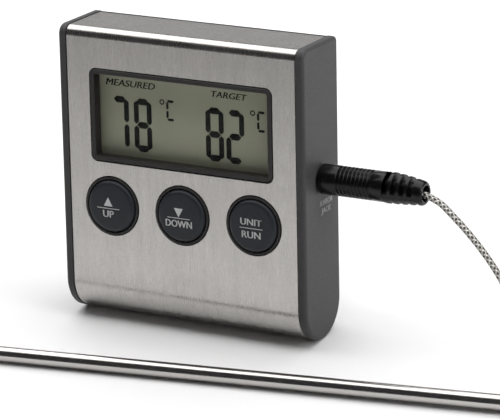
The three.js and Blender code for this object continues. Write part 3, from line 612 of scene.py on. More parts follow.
def cell_wrap():
    """The cell's shrink wrap: a dark field and a copper band at its positive end."""
    field, copper, band_start = (0.02, 0.02, 0.022), (0.45, 0.18, 0.07), -19.5
    look = Finish("cell_wrap", field, 0.3)
    place = look.node("SeparateXYZ", {"Vector": look.place()}).outputs["X"]
    band = look.math("GREATER_THAN", place, band_start)
    grain = look.noise(look.place(), 2.0, 3.0)
    dark = look.shade(field, look.spread(grain, 0.8, 1.2))
    look.colour(look.blend(band, dark, copper))
    look.bump(grain, 0.15, 0.01)
    return look


_made = {}


def finishes():
    """Every finish by name, made once."""
    if not _made:
        inside = (
            ("black_moulding", (0.015, 0.015, 0.016), 0.4, 4.0, 0.02, 0.0),
            ("epoxy", (0.01, 0.01, 0.01), 0.25, 0.8, 0.03, 0.0),
            ("zebra_rubber", (0.09, 0.09, 0.1), 0.8, 6.0, 0.02, 0.0),
        )
        made = [
            brushed_steel(), case_plastic(), bezel_plastic(), button_plastic(), plug_plastic(),
            white_print(), clear_window(), liquid_crystal(), display_segment(), polished_steel(),
            nickel(), steel_braid(), solder_mask(), cell_wrap(), *(speckled(*row) for row in inside),
        ]
        _made.update({one.name: one.material for one in made})
    return _made


# ---------------------------------------------------------------- stage
def camera():
    """The camera, placed in the case's own frame and leaned with it."""
    stage = settings().stage
    back = Vector(
        (
            sin(stage.azimuth) * cos(stage.elevation),
            -cos(stage.azimuth) * cos(stage.elevation),
            sin(stage.elevation),
        )
    )
    right = back.cross(Vector((0, 0, 1))).normalized() * -1
    up = back.cross(right)
    tilted_right = right * cos(stage.roll) + up * sin(stage.roll)
    tilted_up = up * cos(stage.roll) - right * sin(stage.roll)
    aim = Vector((18.451, 0, 32.501))
    data = bpy.data.cameras.new("camera")
    data.sensor_fit = "HORIZONTAL"
    data.sensor_width = 36
    data.lens = stage.lens
    data.clip_end = 20
    shown = bpy.data.objects.new("camera", data)
    lean = Matrix.Rotation(-settings().case.lean, 3, "X")
    axes = lean @ Matrix((tilted_right, tilted_up, back)).transposed()
    spot = case_frame() @ (aim + back * mm(stage.distance))
    shown.matrix_world = Matrix.Translation(spot) @ axes.to_4x4()
    bpy.context.scene.collection.objects.link(shown)
    bpy.context.scene.camera = shown


def softbox(name, place, aim, size, watts):
    data = bpy.data.lights.new(name, "AREA")
    data.shape = "RECTANGLE"
    data.size, data.size_y = size
    data.energy = watts
    lamp = bpy.data.objects.new(name, data)
    lamp.location = place
    lamp.rotation_euler = (Vector(aim) - Vector(place)).to_track_quat("-Z", "Y").to_euler()
    bpy.context.scene.collection.objects.link(lamp)


def floor():
    bm = bmesh.new()
    bmesh.ops.create_grid(bm, x_segments=1, y_segments=1, size=4)
    mesh = bpy.data.meshes.new("floor")
    bm.to_mesh(mesh)
    bm.free()
    made = Finish("floor_paper", settings().stage.floor, 0.9, specular=0.1)
    mesh.materials.append(made.material)
    shown = bpy.data.objects.new("floor", mesh)
    bpy.context.scene.collection.objects.link(shown)


class THERMOMETER_OT_stage(bpy.types.Operator):
    """Camera, pale floor and soft studio light"""

    bl_idname = "thermometer.stage"
    bl_label = "Stage"

    def execute(self, context):
        camera()
        floor()
        middle = (-0.01, 0, 0.03)
        softbox("overhead", (-0.3, 0.55, 1.2), (-0.3, 0.55, 0), (3.0, 1.8), 46)
        softbox("right", (1.6, 0.1, 0.8), middle, (0.9, 0.9), 10)
        softbox("back", (-0.9, 1.4, 0.35), middle, (1.4, 0.5), 1.1)
        world = bpy.data.worlds.new("studio")
        world.use_nodes = True
        world.node_tree.nodes["Background"].inputs["Color"].default_value = (0.05, 0.049, 0.051, 1)
        context.scene.world = world
        context.scene.view_settings.view_transform = "Standard"
        return {"FINISHED"}


# ---------------------------------------------------------------- cable
# The cable's route on the table: out of the plug and down to the table, then to the coil.
CABLE_RUN = [
    (54.6, 5.5, 38.93), (57, 5.5, 38.75), (60.2, 5.5, 38.0), (63.3, 5.5, 36.6), (65.6, 5.5, 34.5),
    (68, 5.5, 32),
    (70.3, 5.5, 29.4), (72.6, 5.4, 26.6), (74.8, 5.3, 23.6), (76.7, 5.2, 20.6), (78.5, 5.1, 17.2),
    (80.2, 5.1, 13.7), (82, 5.2, 10.1), (84, 5.5, 6.7), (86.6, 6.2, 3.7), (90, 7.8, 1.7),
    (93.4, 10.3, 0.9), (96.8, 13.5, 0.85), (100.2, 17, 0.85), (103.6, 20.4, 0.85), (107.4, 22.9, 0.85),
    (111.5, 23.7, 0.85),
]
# And from the coil to the probe's ferrule.
CABLE_TAIL = [
    (126.4, 9.5, 5.4), (126.9, 5.5, 4.4), (127, 1.5, 3.1), (126.8, -3, 1.8), (126.1, -8, 1.1),
    (124.6, -12.8, 1.1), (122.2, -15.6, 1.5), (119, -17, 2.05), (115.6, -17.5, 2.3), (112.6, -17.8, 2.3),
]
COIL_CENTRE = (113, 10)
TIE_ANGLE = radians(235)


def coil_turns():
    """The wound turns, clockwise from above: in and out along each layer, and a layer higher each time."""
    wide = 4
    gap, nesting = 0.05, 0.97
    hump, hump_reach = 0.75, 0.45
    pitch = 2 * CABLE_RADIUS + gap
    middle = mm(settings().lead.coil_radius)
    turns = settings().lead.coil_turns
    steps = 18
    start, end = radians(84), radians(4)
    total = turns - 1 + (start - end) / (2 * pi)
    count = ceil(total * steps)
    points = []
    for step in range(count + 1):
        done = total * step / count
        turn, part = int(done), done % 1
        move = min(max((part - 0.8) / 0.2, 0), 1)
        move = move * move * (3 - 2 * move)
        spots = []
        for index in (turn, min(turn + 1, turns - 1)):
            layer, column = divmod(index, wide)
            spots.append((wide - 1 - column if layer % 2 == 0 else column, layer))
        column, layer = (a + (b - a) * move for a, b in zip(*spots))
        bearing = start - done * 2 * pi
        radius = middle + (column - (wide - 1) / 2) * pitch
        off = (bearing - TIE_ANGLE + pi) % (2 * pi) - pi
        height = CABLE_RADIUS + gap + layer * pitch * nesting + hump / (1 + (off / hump_reach) ** 4)
        points.append(
            (COIL_CENTRE[0] + radius * cos(bearing), COIL_CENTRE[1] + radius * sin(bearing), height)
        )
    return points


class THERMOMETER_OT_cable(bpy.types.Operator):
    """The braided cable with its plug, strain relief and coil tie"""

    bl_idname = "thermometer.cable"
    bl_label = "Cable"

    def execute(self, context):
        place = table_frame()
        route = [place @ Vector(point) for point in CABLE_RUN + coil_turns() + CABLE_TAIL]
        data = bpy.data.curves.new("braided_cable", "CURVE")
        data.dimensions = "3D"
        data.bevel_depth = CABLE_RADIUS * MM
        data.bevel_resolution = 4
        data.resolution_u = 4
        data.use_fill_caps = True
        spline = data.splines.new("BEZIER")
        spline.bezier_points.add(len(route) - 1)
        for knot, point in zip(spline.bezier_points, route):
            knot.co = point
            knot.handle_left_type = knot.handle_right_type = "AUTO"
        data.materials.append(finishes()["steel_braid"])
        cable = bpy.data.objects.new("braided_cable", data)
        context.scene.collection.objects.link(cable)
        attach(cable, "probe_lead")
        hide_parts("cable_run", "cable_tail", "cable_coil")
        tie = dressed_copy("cable_tie", "black_moulding", "probe_lead", 0.15)
        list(plug_pieces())
        return {"FINISHED"}


# ---------------------------------------------------------------- steel cover and caps
def draw_out(bm, edges, move):
    """Extrudes edges and moves each new vertex by a function of its place."""
    drawn = loose(bmesh.ops.extrude_edge_only(bm, edges=edges)["geom"], bmesh.types.BMVert)
    for vert in drawn:
        vert.co = move(vert.co)


def steel_front(low, high):
    """The flat front with its holes, each hole and side edge with a plain strip round it."""
    strip = 0.5
    bm = bmesh.new()
    rounded_plate(bm, (0, (low + high) / 2), (2 * (STEEL_HALF_WIDTH - strip), high - low), {})
    outline = set(bm.edges)
    window = (WINDOW_WIDTH + 2 * strip, WINDOW_HEIGHT + 2 * strip)
    rounded_plate(bm, (0, WINDOW_CENTRE_Z), window, same_corners(WINDOW_CORNER + strip), 12)
    window_edges = [e for e in bm.edges if e not in outline]
    bmesh.ops.delete(bm, geom=bm.faces[:], context="FACES_ONLY")
    rings = []
    for x in BUTTON_CENTRES:
        spot = Matrix.Translation((x, BUTTON_CENTRE_Z, 0))
        radius = BUTTON_HOLE_RADIUS + strip
        ring = bmesh.ops.create_circle(bm, segments=96, radius=radius, matrix=spot)["verts"]
        rings.append((spot.translation, list({e for v in ring for e in v.link_edges})))
    bmesh.ops.triangle_fill(bm, edges=bm.edges, use_beauty=True, normal=(0, 0, 1))
    for centre, edges in rings:
        draw_out(bm, edges, lambda at: centre.lerp(at, BUTTON_HOLE_RADIUS / (BUTTON_HOLE_RADIUS + strip)))

    def to_window(at):
        right, up = (1 if at.x > 0 else -1), (1 if at.y > WINDOW_CENTRE_Z else -1)
        centre = Vector(
            (
                right * (WINDOW_WIDTH / 2 - WINDOW_CORNER),
                WINDOW_CENTRE_Z + up * (WINDOW_HEIGHT / 2 - WINDOW_CORNER),
                0,
            )
        )
        return centre.lerp(at, WINDOW_CORNER / (WINDOW_CORNER + strip))

    draw_out(bm, window_edges, to_window)
    for side in (-1, 1):
        spot = side * (STEEL_HALF_WIDTH - strip)
        edges = [e for e in bm.edges if e.is_boundary and all(abs(v.co.x - spot) < NEAR for v in e.verts)]
        draw_out(bm, edges, lambda at: at + Vector((side * strip, 0, 0)))
    return bm


def steel_sheet():
    low, high = BOTTOM_RADIUS, CASE_HEIGHT - TOP_FRONT_RADIUS
    bm = upright(steel_front(low, high))
    shift(bm, (0, STEEL_INSET, 0))
    ends = {
        which: [e for e in bm.edges if all(abs(v.co.z - z) < NEAR for v in e.verts)]
        for which, z in (("top", high), ("bottom", low))
    }
    bent = bmesh.ops.spin(
        bm,
        geom=ends["top"] + list({v for e in ends["top"] for v in e.verts}),
        cent=(0, TOP_FRONT_RADIUS, high),
        axis=(1, 0, 0),
        angle=-pi / 2,
        steps=16,
    )["geom_last"]
    over_top = Vector((0, SPLIT_Y - TOP_FRONT_RADIUS, 0))
    draw_out(bm, loose(bent, bmesh.types.BMEdge), lambda at: at + over_top)
    bmesh.ops.spin(
        bm,
        geom=ends["bottom"] + list({v for e in ends["bottom"] for v in e.verts}),
        cent=(0, BOTTOM_RADIUS, BOTTOM_RADIUS),
        axis=(1, 0, 0),
        angle=pi / 2 + STEEL_WRAP_PAST_BOTTOM,
        steps=75,
    )
    bmesh.ops.recalc_face_normals(bm, faces=bm.faces)
    return bm


class THERMOMETER_OT_steel_cover(bpy.types.Operator):
    """The brushed steel sheet that wraps the front, the top and the rounded bottom"""

    bl_idname = "thermometer.steel_cover"
    bl_label = "Steel cover"

    def execute(self, context):
        place, node = case_frame(), "steel_cover"
        sheet = finish("steel_wrap", steel_sheet(), place, "brushed_steel", "case", [node])
        modifier(sheet, "SOLIDIFY", thickness=STEEL_THICKNESS * MM, offset=-1)
        soften(sheet, mm(settings().case.steel_edge), 2, 50)
        return {"FINISHED"}


def cap_shape(side, hole):
    """One side cap: the whole outline, its outer edge rounded, with a hole where a socket comes through."""
    bm = bmesh.new()
    nearly = 0.9998 * BOTTOM_RADIUS
    corners = {
        (-1, -1): nearly,
        (1, -1): nearly,
        (-1, 1): TOP_FRONT_RADIUS,
        (1, 1): TOP_BACK_RADIUS,
    }
    rounded_plate(bm, (CASE_DEPTH / 2, CASE_HEIGHT / 2), (CASE_DEPTH, CASE_HEIGHT), corners, 24)
    sideways(bm)
    outer = max(bm.faces, key=lambda f: f.calc_area())
    shift(bm, (HALF_WIDTH - CAP_THICKNESS, 0, 0))
    raised = bmesh.ops.extrude_face_region(bm, geom=[outer])["geom"]
    shift(bm, (CAP_THICKNESS, 0, 0), loose(raised, bmesh.types.BMVert))
    rim = [e for face in loose(raised, bmesh.types.BMFace) for e in face.edges]
    rounded(bm, rim, mm(settings().case.cap_edge), 6, "EDGES")
    if hole:
        face = max((f for f in bm.faces if f.normal.x > 0.99), key=lambda f: f.calc_area())
        edge = face.edges[:]
        bmesh.ops.delete(bm, geom=[face], context="FACES_ONLY")
        spot = Matrix.Translation((HALF_WIDTH, JACK_Y, JACK_Z)) @ Matrix.Rotation(pi / 2, 4, "Y")
        ring = bmesh.ops.create_circle(bm, segments=64, radius=JACK_HOLE_RADIUS, matrix=spot)["verts"]
        round_edge = list({e for v in ring for e in v.link_edges})
        bmesh.ops.triangle_fill(bm, edges=edge + round_edge, use_beauty=True, normal=(1, 0, 0))
        wall = bmesh.ops.extrude_edge_only(bm, edges=round_edge)["geom"]
        shift(bm, (-CAP_THICKNESS, 0, 0), loose(wall, bmesh.types.BMVert))
    bmesh.ops.recalc_face_normals(bm, faces=bm.faces)
    if side < 0:
        bmesh.ops.scale(bm, vec=(-1, 1, 1), verts=bm.verts)
        bmesh.ops.reverse_faces(bm, faces=bm.faces)
    return bm


class THERMOMETER_OT_side_caps(bpy.types.Operator):
    """The two moulded end caps, with their rounded edges and the socket's hole"""

    bl_idname = "thermometer.side_caps"
    bl_label = "Side caps"

    def execute(self, context):
        for name, side in (("right", 1), ("left", -1)):
            shape, node = cap_shape(side, side > 0), name + "_side_cap"
            cap = finish(name + "_cap", shape, case_frame(), "case_plastic", "case", [node])
            soften(cap, 0.35, 3, 50)
        return {"FINISHED"}


# ---------------------------------------------------------------- display
def bezel_frame():
    """The frame round the window: a soft outer edge, a flat face and a wall down to the window."""
    bm = bmesh.new()
    size = (WINDOW_WIDTH - 0.4, WINDOW_HEIGHT - 0.4)
    rounded_plate(bm, (0, WINDOW_CENTRE_Z), size, same_corners(WINDOW_CORNER - 0.2), 12)
    upright(bm)
    shift(bm, (0, 2.0, 0))
    face = bm.faces[:][0]
    for thickness, depth in (
        (0.001, 1.8), (0.05, 0.15), (0.1, 0.1), (0.75, 0.0), (0.12, -0.04), (0.12, -0.12),
        (0.06, -0.3), (0.001, -2.14),
    ):
        bmesh.ops.inset_region(
            bm, faces=[face], thickness=thickness, depth=depth, use_even_offset=True, use_boundary=True
        )
    bmesh.ops.delete(bm, geom=[face], context="FACES")
    return bm


def segment(bm, x, z, size):
    """One stroke of a digit: a bar with cut corners."""
    cut = 0.42 * min(size)
    before = set(bm.verts)
    rounded_plate(bm, (0, 0), size, same_corners(cut), 1)
    made = [v for v in bm.verts if v not in before]
    shift(bm, (x, z, 0), made)


def digit(bm, x, low, lit):
    """A seven-segment digit with its lower left corner at (x, low); lit names its strokes a to g."""
    display = settings().display
    wide, high, stroke = (mm(v) for v in (display.digit_width, display.digit_height, display.stroke))
    gap = 0.14
    half = high / 2
    across = (wide - 1.2 * stroke, stroke)
    down = (0.84 * stroke, half - 0.55 * stroke - gap)
    left, right = 0.46 * stroke, wide - 0.46 * stroke
    lower, upper = (half + 0.45 * stroke) / 2 - 0.1, high - (half + 0.45 * stroke) / 2 + 0.1
    strokes = {
        "a": (wide / 2, high - stroke / 2, across),
        "b": (right, upper, down),
        "c": (right, lower, down),
        "d": (wide / 2, stroke / 2, across),
        "e": (left, lower, down),
        "f": (left, upper, down),
        "g": (wide / 2, half, across),
    }
    for name in lit:
        dx, dz, size = strokes[name]
        segment(bm, x + dx, low + dz, size)


def degree_mark(bm, x, z):
    """A small ring and a squared C, as a liquid crystal shows them."""
    ring = bmesh.ops.create_circle(
        bm, segments=32, radius=0.68, cap_ends=True, matrix=Matrix.Translation((x, z - 0.65, 0))
    )["verts"]
    face = next(f for f in bm.faces if set(f.verts) == set(ring))
    bmesh.ops.inset_region(bm, faces=[face], thickness=0.3, use_boundary=True)
    bmesh.ops.delete(bm, geom=[face], context="FACES")
    left, high, wide, stroke = x + 1.15, 5.1, 2.05, 0.62
    for dx, dz, size in (
        (stroke / 2, 0.3 * high, (stroke, 0.36 * high)),
        (stroke / 2, 0.72 * high, (stroke, 0.36 * high)),
        (wide / 2 + 0.15, high - stroke / 2, (wide - 0.3, stroke)),
        (wide / 2 + 0.15, stroke / 2, (wide - 0.3, stroke)),
    ):
        segment(bm, left + dx, z - high + dz, size)


def slab(bm, thickness=0.02):
    """Gives a flat drawing a little thickness towards the front."""
    made = bmesh.ops.extrude_face_region(bm, geom=bm.faces[:])["geom"]
    shift(bm, (0, 0, thickness), loose(made, bmesh.types.BMVert))
    bmesh.ops.recalc_face_normals(bm, faces=bm.faces)
    return bm


def lettering(words, centre, height, stretch=1.0, slant=0.0):
    """Bold words as a flat bmesh in x and y, centred, with capitals of the given height."""
    data = bpy.data.curves.new("words", "FONT")
    data.body = words
    data.align_x = "CENTER"
    data.size = height / FONT_CAPITALS
    data.shear = slant
    data.resolution_u = 3
    shown = bpy.data.objects.new("words", data)
    bpy.context.scene.collection.objects.link(shown)
    mesh = bpy.data.meshes.new_from_object(shown)
    bm = bmesh.new()
    bm.from_mesh(mesh)
    bpy.data.objects.remove(shown)
    bpy.data.curves.remove(data)
    bpy.data.meshes.remove(mesh)
    bmesh.ops.scale(bm, vec=(stretch, 1, 1), verts=bm.verts)
    copied = bmesh.ops.duplicate(bm, geom=bm.verts[:] + bm.edges[:] + bm.faces[:])["geom"]
    thicker = loose(copied, bmesh.types.BMVert)
    shift(bm, (BOLDNESS * height, 0, 0), thicker)
    middle = (max(v.co.x for v in bm.verts) + min(v.co.x for v in bm.verts)) / 2
    shift(bm, (centre[0] - middle, centre[1] - height / 2, 0))
    return bm


def add(bm, other):
    """Puts another bmesh's shape into this one."""
    mesh = bpy.data.meshes.new("part")
    other.to_mesh(mesh)
    other.free()
    bm.from_mesh(mesh)
    bpy.data.meshes.remove(mesh)


class THERMOMETER_OT_display(bpy.types.Operator):
    """The bezel and what the liquid crystal shows"""

    bl_idname = "thermometer.display"
    bl_label = "Display"

    def execute(self, context):
        place = case_frame()
        bezel = finish(
            "bezel_frame", bezel_frame(), place, "bezel_plastic", "case", ["display_bezel"]
        )
        modifier(bezel, "WEIGHTED_NORMAL", keep_sharp=True)
        digits = bmesh.new()
        for x, lit in READINGS:
            digit(digits, x, READING_LOW, lit)
        for x in DEGREE_MARKS:
            degree_mark(digits, x, DEGREE_TOP)
        on_glass = Matrix.Translation((0, LCD_FRONT - 0.01, 0)) @ Matrix.Rotation(pi / 2, 4, "X")
        finish("display_digits", slab(digits), place @ on_glass, "display_segment", "case")
        captions = lettering("MEASURED", (-15.3, CAPTION_CENTRE_Z), 1.6, 1.2, SLANT)
        add(captions, lettering("TARGET", (11.5, CAPTION_CENTRE_Z), 1.5, 1.2, SLANT))
        finish("display_captions", slab(captions), place @ on_glass, "display_segment", "case")
        return {"FINISHED"}


# ---------------------------------------------------------------- buttons
def button_solid(x):
    """A cap with a soft edge, its flange behind the wall and its stem."""
    buttons = settings().buttons
    rise, edge = mm(buttons.rise), mm(buttons.edge)
    arc = [
        (BUTTON_RADIUS - edge * (1 - sin(turn)), BUTTON_CROWN - rise + edge * (1 - cos(turn)))
        for turn in (pi / 2 * step / 10 for step in range(11))
    ]
    dome = [
        ((BUTTON_RADIUS - edge) * part, -rise + BUTTON_CROWN * part**2)
        for part in (0, 0.2, 0.4, 0.6, 0.8, 0.95)
    ]
    flange, flange_front, flange_back = BUTTON_RADIUS + 0.9, 2.35, 3.05
    stem, stem_end = 1.8, 5.3
    profile = [*dome, *arc, (BUTTON_RADIUS, flange_front), (flange, flange_front), (flange, flange_back)]
    profile += [(stem, flange_back), (stem, stem_end), (0, stem_end)]
    return facing_front(turned(profile, 96), x, BUTTON_CENTRE_Z)


def cut_in_squares(bm, step):
    """Cuts a flat drawing along a grid, so that it can follow a curved face."""
    for axis in (0, 1):
        low, high = (pick(v.co[axis] for v in bm.verts) for pick in (min, max))
        normal = [float(axis == 0), float(axis == 1), 0]
        for count in range(1, ceil((high - low) / step)):
            spot = [n * (low + count * step) for n in normal]
            everything = bm.verts[:] + bm.edges[:] + bm.faces[:]
            bmesh.ops.bisect_plane(bm, geom=everything, dist=1e-6, plane_co=spot, plane_no=normal)


def button_face(bm, x):
    """Lays a flat drawing of marks on a button's crowned face."""
    buttons = settings().buttons
    rise = mm(buttons.rise)
    reach = BUTTON_RADIUS - mm(buttons.edge)
    cut_in_squares(bm, 0.45)
    slab(bm, PRINT_THICKNESS)
    for vert in bm.verts:
        across, up, lift = vert.co
        crown = BUTTON_CROWN * (hypot(across - x, up - BUTTON_CENTRE_Z) / reach) ** 2
        vert.co = (across, -rise + crown - lift + PRINT_LIFT, up)
    return bm


def triangle(bm, x, z, pointing):
    made = bmesh.ops.create_circle(bm, segments=3, radius=1, cap_ends=True)["verts"]
    turn = Matrix.Rotation(0 if pointing > 0 else pi, 3, "Z")
    bmesh.ops.rotate(bm, cent=(0, 0, 0), matrix=turn, verts=made)
    bmesh.ops.scale(bm, vec=(1.4, 1.45, 1), verts=made)
    shift(bm, (x, z, 0), made)


def marks(index):
    """The printed marks of one button: an arrow or words over a line, and a word under it."""
    bm = bmesh.new()
    line_height, line_size = 28.2, (6.15, 0.16)
    if index < 2:
        x = (-19.8, -0.4)[index]
        triangle(bm, x, (29.5, 29.9)[index], 1 - 2 * index)
        add(bm, lettering(("UP", "DOWN")[index], (x, 26.85), 1.7, (1.05, 0.9)[index]))
    else:
        x = 19.15
        add(bm, lettering("UNIT", (x, 29.75), 1.6, 1.08))
        add(bm, lettering("RUN", (x, 26.65), 1.7, 1.05))
    rounded_plate(bm, (x, line_height), line_size, {})
    return button_face(bm, BUTTON_CENTRES[index])


def collar(x):
    """The ring round a button, raised a hair in front of the steel."""
    outer, inner = BUTTON_HOLE_RADIUS - 0.18, BUTTON_HOLE_RADIUS - 0.72
    back, front = 2.2, -0.12
    profile = [
        (outer, back), (outer, 0.05), (outer - 0.06, -0.07), (outer - 0.16, front),
        (inner + 0.16, front), (inner + 0.05, -0.06), (inner, 0.1), (inner, back), (outer, back),
    ]
    return facing_front(turned(profile, 96), x, BUTTON_CENTRE_Z)


class THERMOMETER_OT_buttons(bpy.types.Operator):
    """The three buttons, their printed marks and their collars"""

    bl_idname = "thermometer.buttons"
    bl_label = "Buttons"

    def execute(self, context):
        place = case_frame()
        for index, name in enumerate(("minute", "second", "unit")):
            x = BUTTON_CENTRES[index]
            node = name + "_button"
            finish(name + "_cap", button_solid(x), place, "button_plastic", node, [node])
            finish(name + "_marks", marks(index), place, "white_print", node)
            finish(name + "_collar", collar(x), place, "bezel_plastic", "case", ())
        return {"FINISHED"}


# ---------------------------------------------------------------- plug
def plug_shape():
    """The grip: a plain nose, a run of fine rings and a smooth collar."""
    start, rings, pitch, nose = 33.2, 9, 1.03, 5
    groove, ease = PLUG_RADIUS - 0.3, PLUG_RADIUS - 0.08
    bore, bore_end = 2.3, PLUG_END - 3
    profile = [(0, start), (groove, start), (PLUG_RADIUS, start + 0.3)]
    for ring in range(rings):
        x = HALF_WIDTH + nose + ring * pitch
        profile += [
            (PLUG_RADIUS, x - 0.12), (ease, x), (groove, x + 0.12),
            (groove, x + 0.42), (ease, x + 0.54), (PLUG_RADIUS, x + 0.66),
        ]
    profile += [(PLUG_RADIUS, PLUG_END - 0.4), (groove, PLUG_END), (bore, PLUG_END)]
    profile += [(bore, bore_end), (0, bore_end)]
    return along_x(turned(profile, 72), JACK_Y, JACK_Z)


def relief_radius(part):
    """The sleeve's radius, from its root at 0 to its mouth at 1."""
    return PLUG_RADIUS + 0.15 - 0.95 * part**1.6


def relief_shape():
    """The strain relief: a tapered sleeve cut by staggered slots, with a flared mouth, sagging a little."""
    start = PLUG_END + 0.1
    slots, pitch, width, slot_floor = 4, 2.05, 1.2, 2.05
    mouth, lip = 9.0, 9.35
    stops = {0.0, mouth, lip, RELIEF_LENGTH}
    for slot in range(slots):
        for edge in (slot * pitch, slot * pitch + pitch / 2):
            stops |= {edge, edge + width}
    stops = sorted(stops)
    shrink = {lip: 0.1, RELIEF_LENGTH: 0.4}
    profile = [(0, start - 3.3), (2.2, start - 3.3), (2.2, start)]
    profile += [(relief_radius(s / RELIEF_LENGTH) - shrink.get(s, 0), start + s) for s in stops]
    profile += [(1.95, start + RELIEF_LENGTH), (1.05, start + 6.5), (1.05, start + 3.6), (0, start + 3.6)]
    bm = turned(profile, 72)
    faces = {"top": [], "bottom": []}
    for face in bm.faces:
        middle = face.calc_center_median()
        radius = hypot(middle.y, middle.z)
        bearing = atan2(middle.z, middle.y) % (2 * pi)
        s = middle.x - start
        if radius < 2.4 or s > mouth or abs(face.normal.x) > 0.8:
            continue
        upper = any(slot * pitch < s < slot * pitch + width for slot in range(slots))
        lower = any(slot * pitch < s - pitch / 2 < slot * pitch + width for slot in range(slots))
        if upper and not radians(190) < bearing < radians(350):
            faces["top"].append(face)
        elif lower and radians(220) < bearing < radians(320):
            faces["bottom"].append(face)
    for chosen in faces.values():
        sunk = bmesh.ops.extrude_face_region(bm, geom=chosen)["geom"]
        bmesh.ops.delete(bm, geom=chosen, context="FACES")
        for vert in loose(sunk, bmesh.types.BMVert):
            shrunk = slot_floor / hypot(vert.co.y, vert.co.z)
            vert.co.y *= shrunk
            vert.co.z *= shrunk
    bmesh.ops.recalc_face_normals(bm, faces=bm.faces)
    for vert in bm.verts:
        vert.co.z -= RELIEF_DROOP * max((vert.co.x - start) / RELIEF_LENGTH, 0) ** 2
    return along_x(bm, JACK_Y, JACK_Z)


def pin_shape():
    shoulder, reach, radius = 33.05, 11.2, 1.25
    tip = shoulder - reach
    end = tip + 16
    profile = [
        (0, tip), (0.55 * radius, tip + 0.15), (0.92 * radius, tip + 0.9), (0.72 * radius, tip + 1.9),
        (radius, tip + 2.6), (radius, tip + 4.4), (0.88 * radius, tip + 4.5), (0.88 * radius, tip + 5),
        (radius, tip + 5.1), (radius, end), (0, end),
    ]
    return along_x(turned(profile, 48), JACK_Y, JACK_Z)


def jack_bush():
    """The socket's round nose in the cap's hole."""
    outer, bore, face = 2.62, 1.37, 32.67
    profile = [(outer, 30), (outer, 32.55), (2.5, face), (1.6, face), (bore, 32.4), (bore, 23)]
    return along_x(turned(profile, 64), JACK_Y, JACK_Z)


def jack_words():
    """Two short words under the socket, read from the right."""
    bm = lettering("SENSOR", (10.6, 33.6), 1.3, 0.95, SLANT)
    add(bm, lettering("JACK", (10.6, 31.6), 1.3, 1.05, SLANT))
    slab(bm, PRINT_THICKNESS)
    sideways(bm)
    shift(bm, (HALF_WIDTH - 0.006, 0, 0))
    return bm


def plug_pieces():
    """The grip, the strain relief and the pin, which travel with the cable."""
    place = case_frame()
    rows = (
        ("plug_grip", plug_shape, "plug_plastic", "plug_body", "black_plastic"),
        ("relief_sleeve", relief_shape, "plug_plastic", "strain_relief", "black_plastic"),
        ("plug_contact", pin_shape, "nickel", "plug_pin", "nickel"),
    )
    grip, relief, pin = (
        finish(name, shape(), place, finish_name, "probe_lead", [node])
        for name, shape, finish_name, node, slot in rows
    )
    soften(relief, 0.1, 2, 45)
    return [grip, relief, pin]


class THERMOMETER_OT_socket(bpy.types.Operator):
    """The socket's nose in the right cap and the words under it"""

    bl_idname = "thermometer.socket"
    bl_label = "Socket"

    def execute(self, context):
        place = case_frame()
        finish("socket_bush", jack_bush(), place, "black_moulding", "case", ())
        finish("socket_words", jack_words(), place, "white_print", "case")
        return {"FINISHED"}


# ---------------------------------------------------------------- probe
def tube_shape():
    """The probe's closed tube: a drawn point, a long straight wall and an open end."""
    point = -PROBE_LENGTH
    bore = PROBE_RADIUS - 0.45
    profile = [
        (0, point), (0.2, point + 0.05), (0.62 * PROBE_RADIUS, point + 0.45 * PROBE_TIP),
        (0.88 * PROBE_RADIUS, point + 0.75 * PROBE_TIP), (PROBE_RADIUS, point + PROBE_TIP),
        (PROBE_RADIUS, -0.2), (PROBE_RADIUS - 0.2, 0), (bore, 0), (bore, point + PROBE_TIP + 1),
        (0, point + PROBE_TIP + 1),
    ]
    return turned(profile, 64)


def ferrule_shape():
    """The crimped sleeve that joins the cable to the tube."""
    radius = FERRULE_RADIUS
    crimps = [
        spot
        for x in (3, 5, 7)
        for spot in (
            (radius, x), (radius - 0.17, x + 0.2), (radius - 0.25, x + 0.5), (radius - 0.17, x + 0.8),
            (radius, x + 1),
        )
    ]
    profile = [
        (0, -5), (1.35, -5), (1.35, 0.1), (radius - 0.4, 0.1), (radius - 0.1, 0.2), (radius, 0.5), *crimps,
        (radius, FERRULE_LENGTH - 1), (radius - 0.3, FERRULE_LENGTH - 0.35), (1.35, FERRULE_LENGTH),
        (1.05, FERRULE_LENGTH), (1.05, 2), (0, 2),
    ]
    return turned(profile, 64)


class THERMOMETER_OT_probe(bpy.types.Operator):
    """The pointed steel probe and the ferrule at its cable end"""

    bl_idname = "thermometer.probe"
    bl_label = "Probe"

    def execute(self, context):
        place = probe_frame()
        for name, shape, node in (
            ("probe_tube", tube_shape, "probe_shaft"),
            ("probe_collar", ferrule_shape, "probe_ferrule"),
        ):
            finish(name, shape(), place, "polished_steel", "probe_lead", [node])
        return {"FINISHED"}


# ---------------------------------------------------------------- back and inside
class THERMOMETER_OT_back(bpy.types.Operator):
    """The rear cover, battery door, stand, magnets and screws, with their edges rounded"""

    bl_idname = "thermometer.back"
    bl_label = "Back"

    def execute(self, context):
        dressed_copy("rear_cover", "case_plastic", "case", 0.12)
        dressed_copy("battery_door", "case_plastic", "battery_door", 0.12)
        dressed_copy("stand_flap", "case_plastic", "stand", 0.2)
        for side in ("left", "right"):
            dressed_copy(side + "_magnet", "nickel", "case", 0.12)
        for number in range(1, 5):
            dressed_copy(f"case_screw_{number}", "nickel", "case", 0.06)
        return {"FINISHED"}


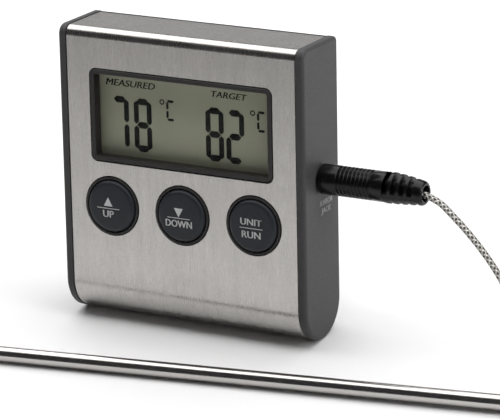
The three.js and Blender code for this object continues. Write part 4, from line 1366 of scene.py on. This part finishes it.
INSIDE_FINISHES = {
    "bezel_plastic": ["front_housing"],
    "clear_window": ["display_window"],
    "liquid_crystal": ["lcd_panel"],
    "zebra_rubber": ["upper_zebra_strip", "lower_zebra_strip"],
    "black_moulding": ["minute_switch", "second_switch", "unit_switch", "piezo_buzzer", "jack_socket"],
    "solder_mask": ["circuit_board"],
    "epoxy": ["controller_chip", "sensor_bead"],
    "nickel": [
        "clock_crystal", "battery_spring", "battery_plate", *(f"board_screw_{n}" for n in range(1, 5)),
    ],
    "cell_wrap": ["battery_cell"],
}


class THERMOMETER_OT_inside(bpy.types.Operator):
    """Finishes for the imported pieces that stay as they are"""

    bl_idname = "thermometer.inside"
    bl_label = "Inside"

    def execute(self, context):
        for finish_name, nodes in INSIDE_FINISHES.items():
            for node in nodes:
                mesh = frame["nodes"][node].data
                mesh.materials.clear()
                mesh.materials.append(finishes()[finish_name])
        return {"FINISHED"}


# ---------------------------------------------------------------- add-on
class ThermometerSettings(bpy.types.PropertyGroup):
    """All settings of the thermometer."""

    case: PointerProperty(type=CaseSettings)
    display: PointerProperty(type=DisplaySettings)
    buttons: PointerProperty(type=ButtonSettings)
    lead: PointerProperty(type=LeadSettings)
    stage: PointerProperty(type=StageSettings)


OPERATORS = (
    THERMOMETER_OT_stage,
    THERMOMETER_OT_cable,
    THERMOMETER_OT_steel_cover,
    THERMOMETER_OT_side_caps,
    THERMOMETER_OT_display,
    THERMOMETER_OT_buttons,
    THERMOMETER_OT_socket,
    THERMOMETER_OT_probe,
    THERMOMETER_OT_back,
    THERMOMETER_OT_inside,
)


class THERMOMETER_PT_panel(bpy.types.Panel):
    """Lists the thermometer's settings and the steps that build it"""

    bl_idname = "THERMOMETER_PT_panel"
    bl_label = "Thermometer"
    bl_space_type = "VIEW_3D"
    bl_region_type = "UI"
    bl_category = "Thermometer"

    def draw(self, context):
        for name in ("case", "display", "buttons", "lead", "stage"):
            group = getattr(settings(), name)
            box = self.layout.box()
            box.label(text=name.title())
            for item in group.__annotations__:
                box.prop(group, item)
        for operator in OPERATORS:
            self.layout.operator(operator.bl_idname)


GROUPS = (CaseSettings, DisplaySettings, ButtonSettings, LeadSettings, StageSettings, ThermometerSettings)
CLASSES = (*GROUPS, *OPERATORS, THERMOMETER_PT_panel)


def register():
    for item in CLASSES:
        bpy.utils.register_class(item)
    bpy.types.Scene.thermometer = PointerProperty(type=ThermometerSettings)


def unregister():
    del bpy.types.Scene.thermometer
    for item in reversed(CLASSES):
        bpy.utils.unregister_class(item)


def main():
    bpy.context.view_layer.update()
    register()
    for operator in OPERATORS:
        group, name = operator.bl_idname.split(".")
        getattr(getattr(bpy.ops, group), name)()


if __name__ == "__main__":
    main()
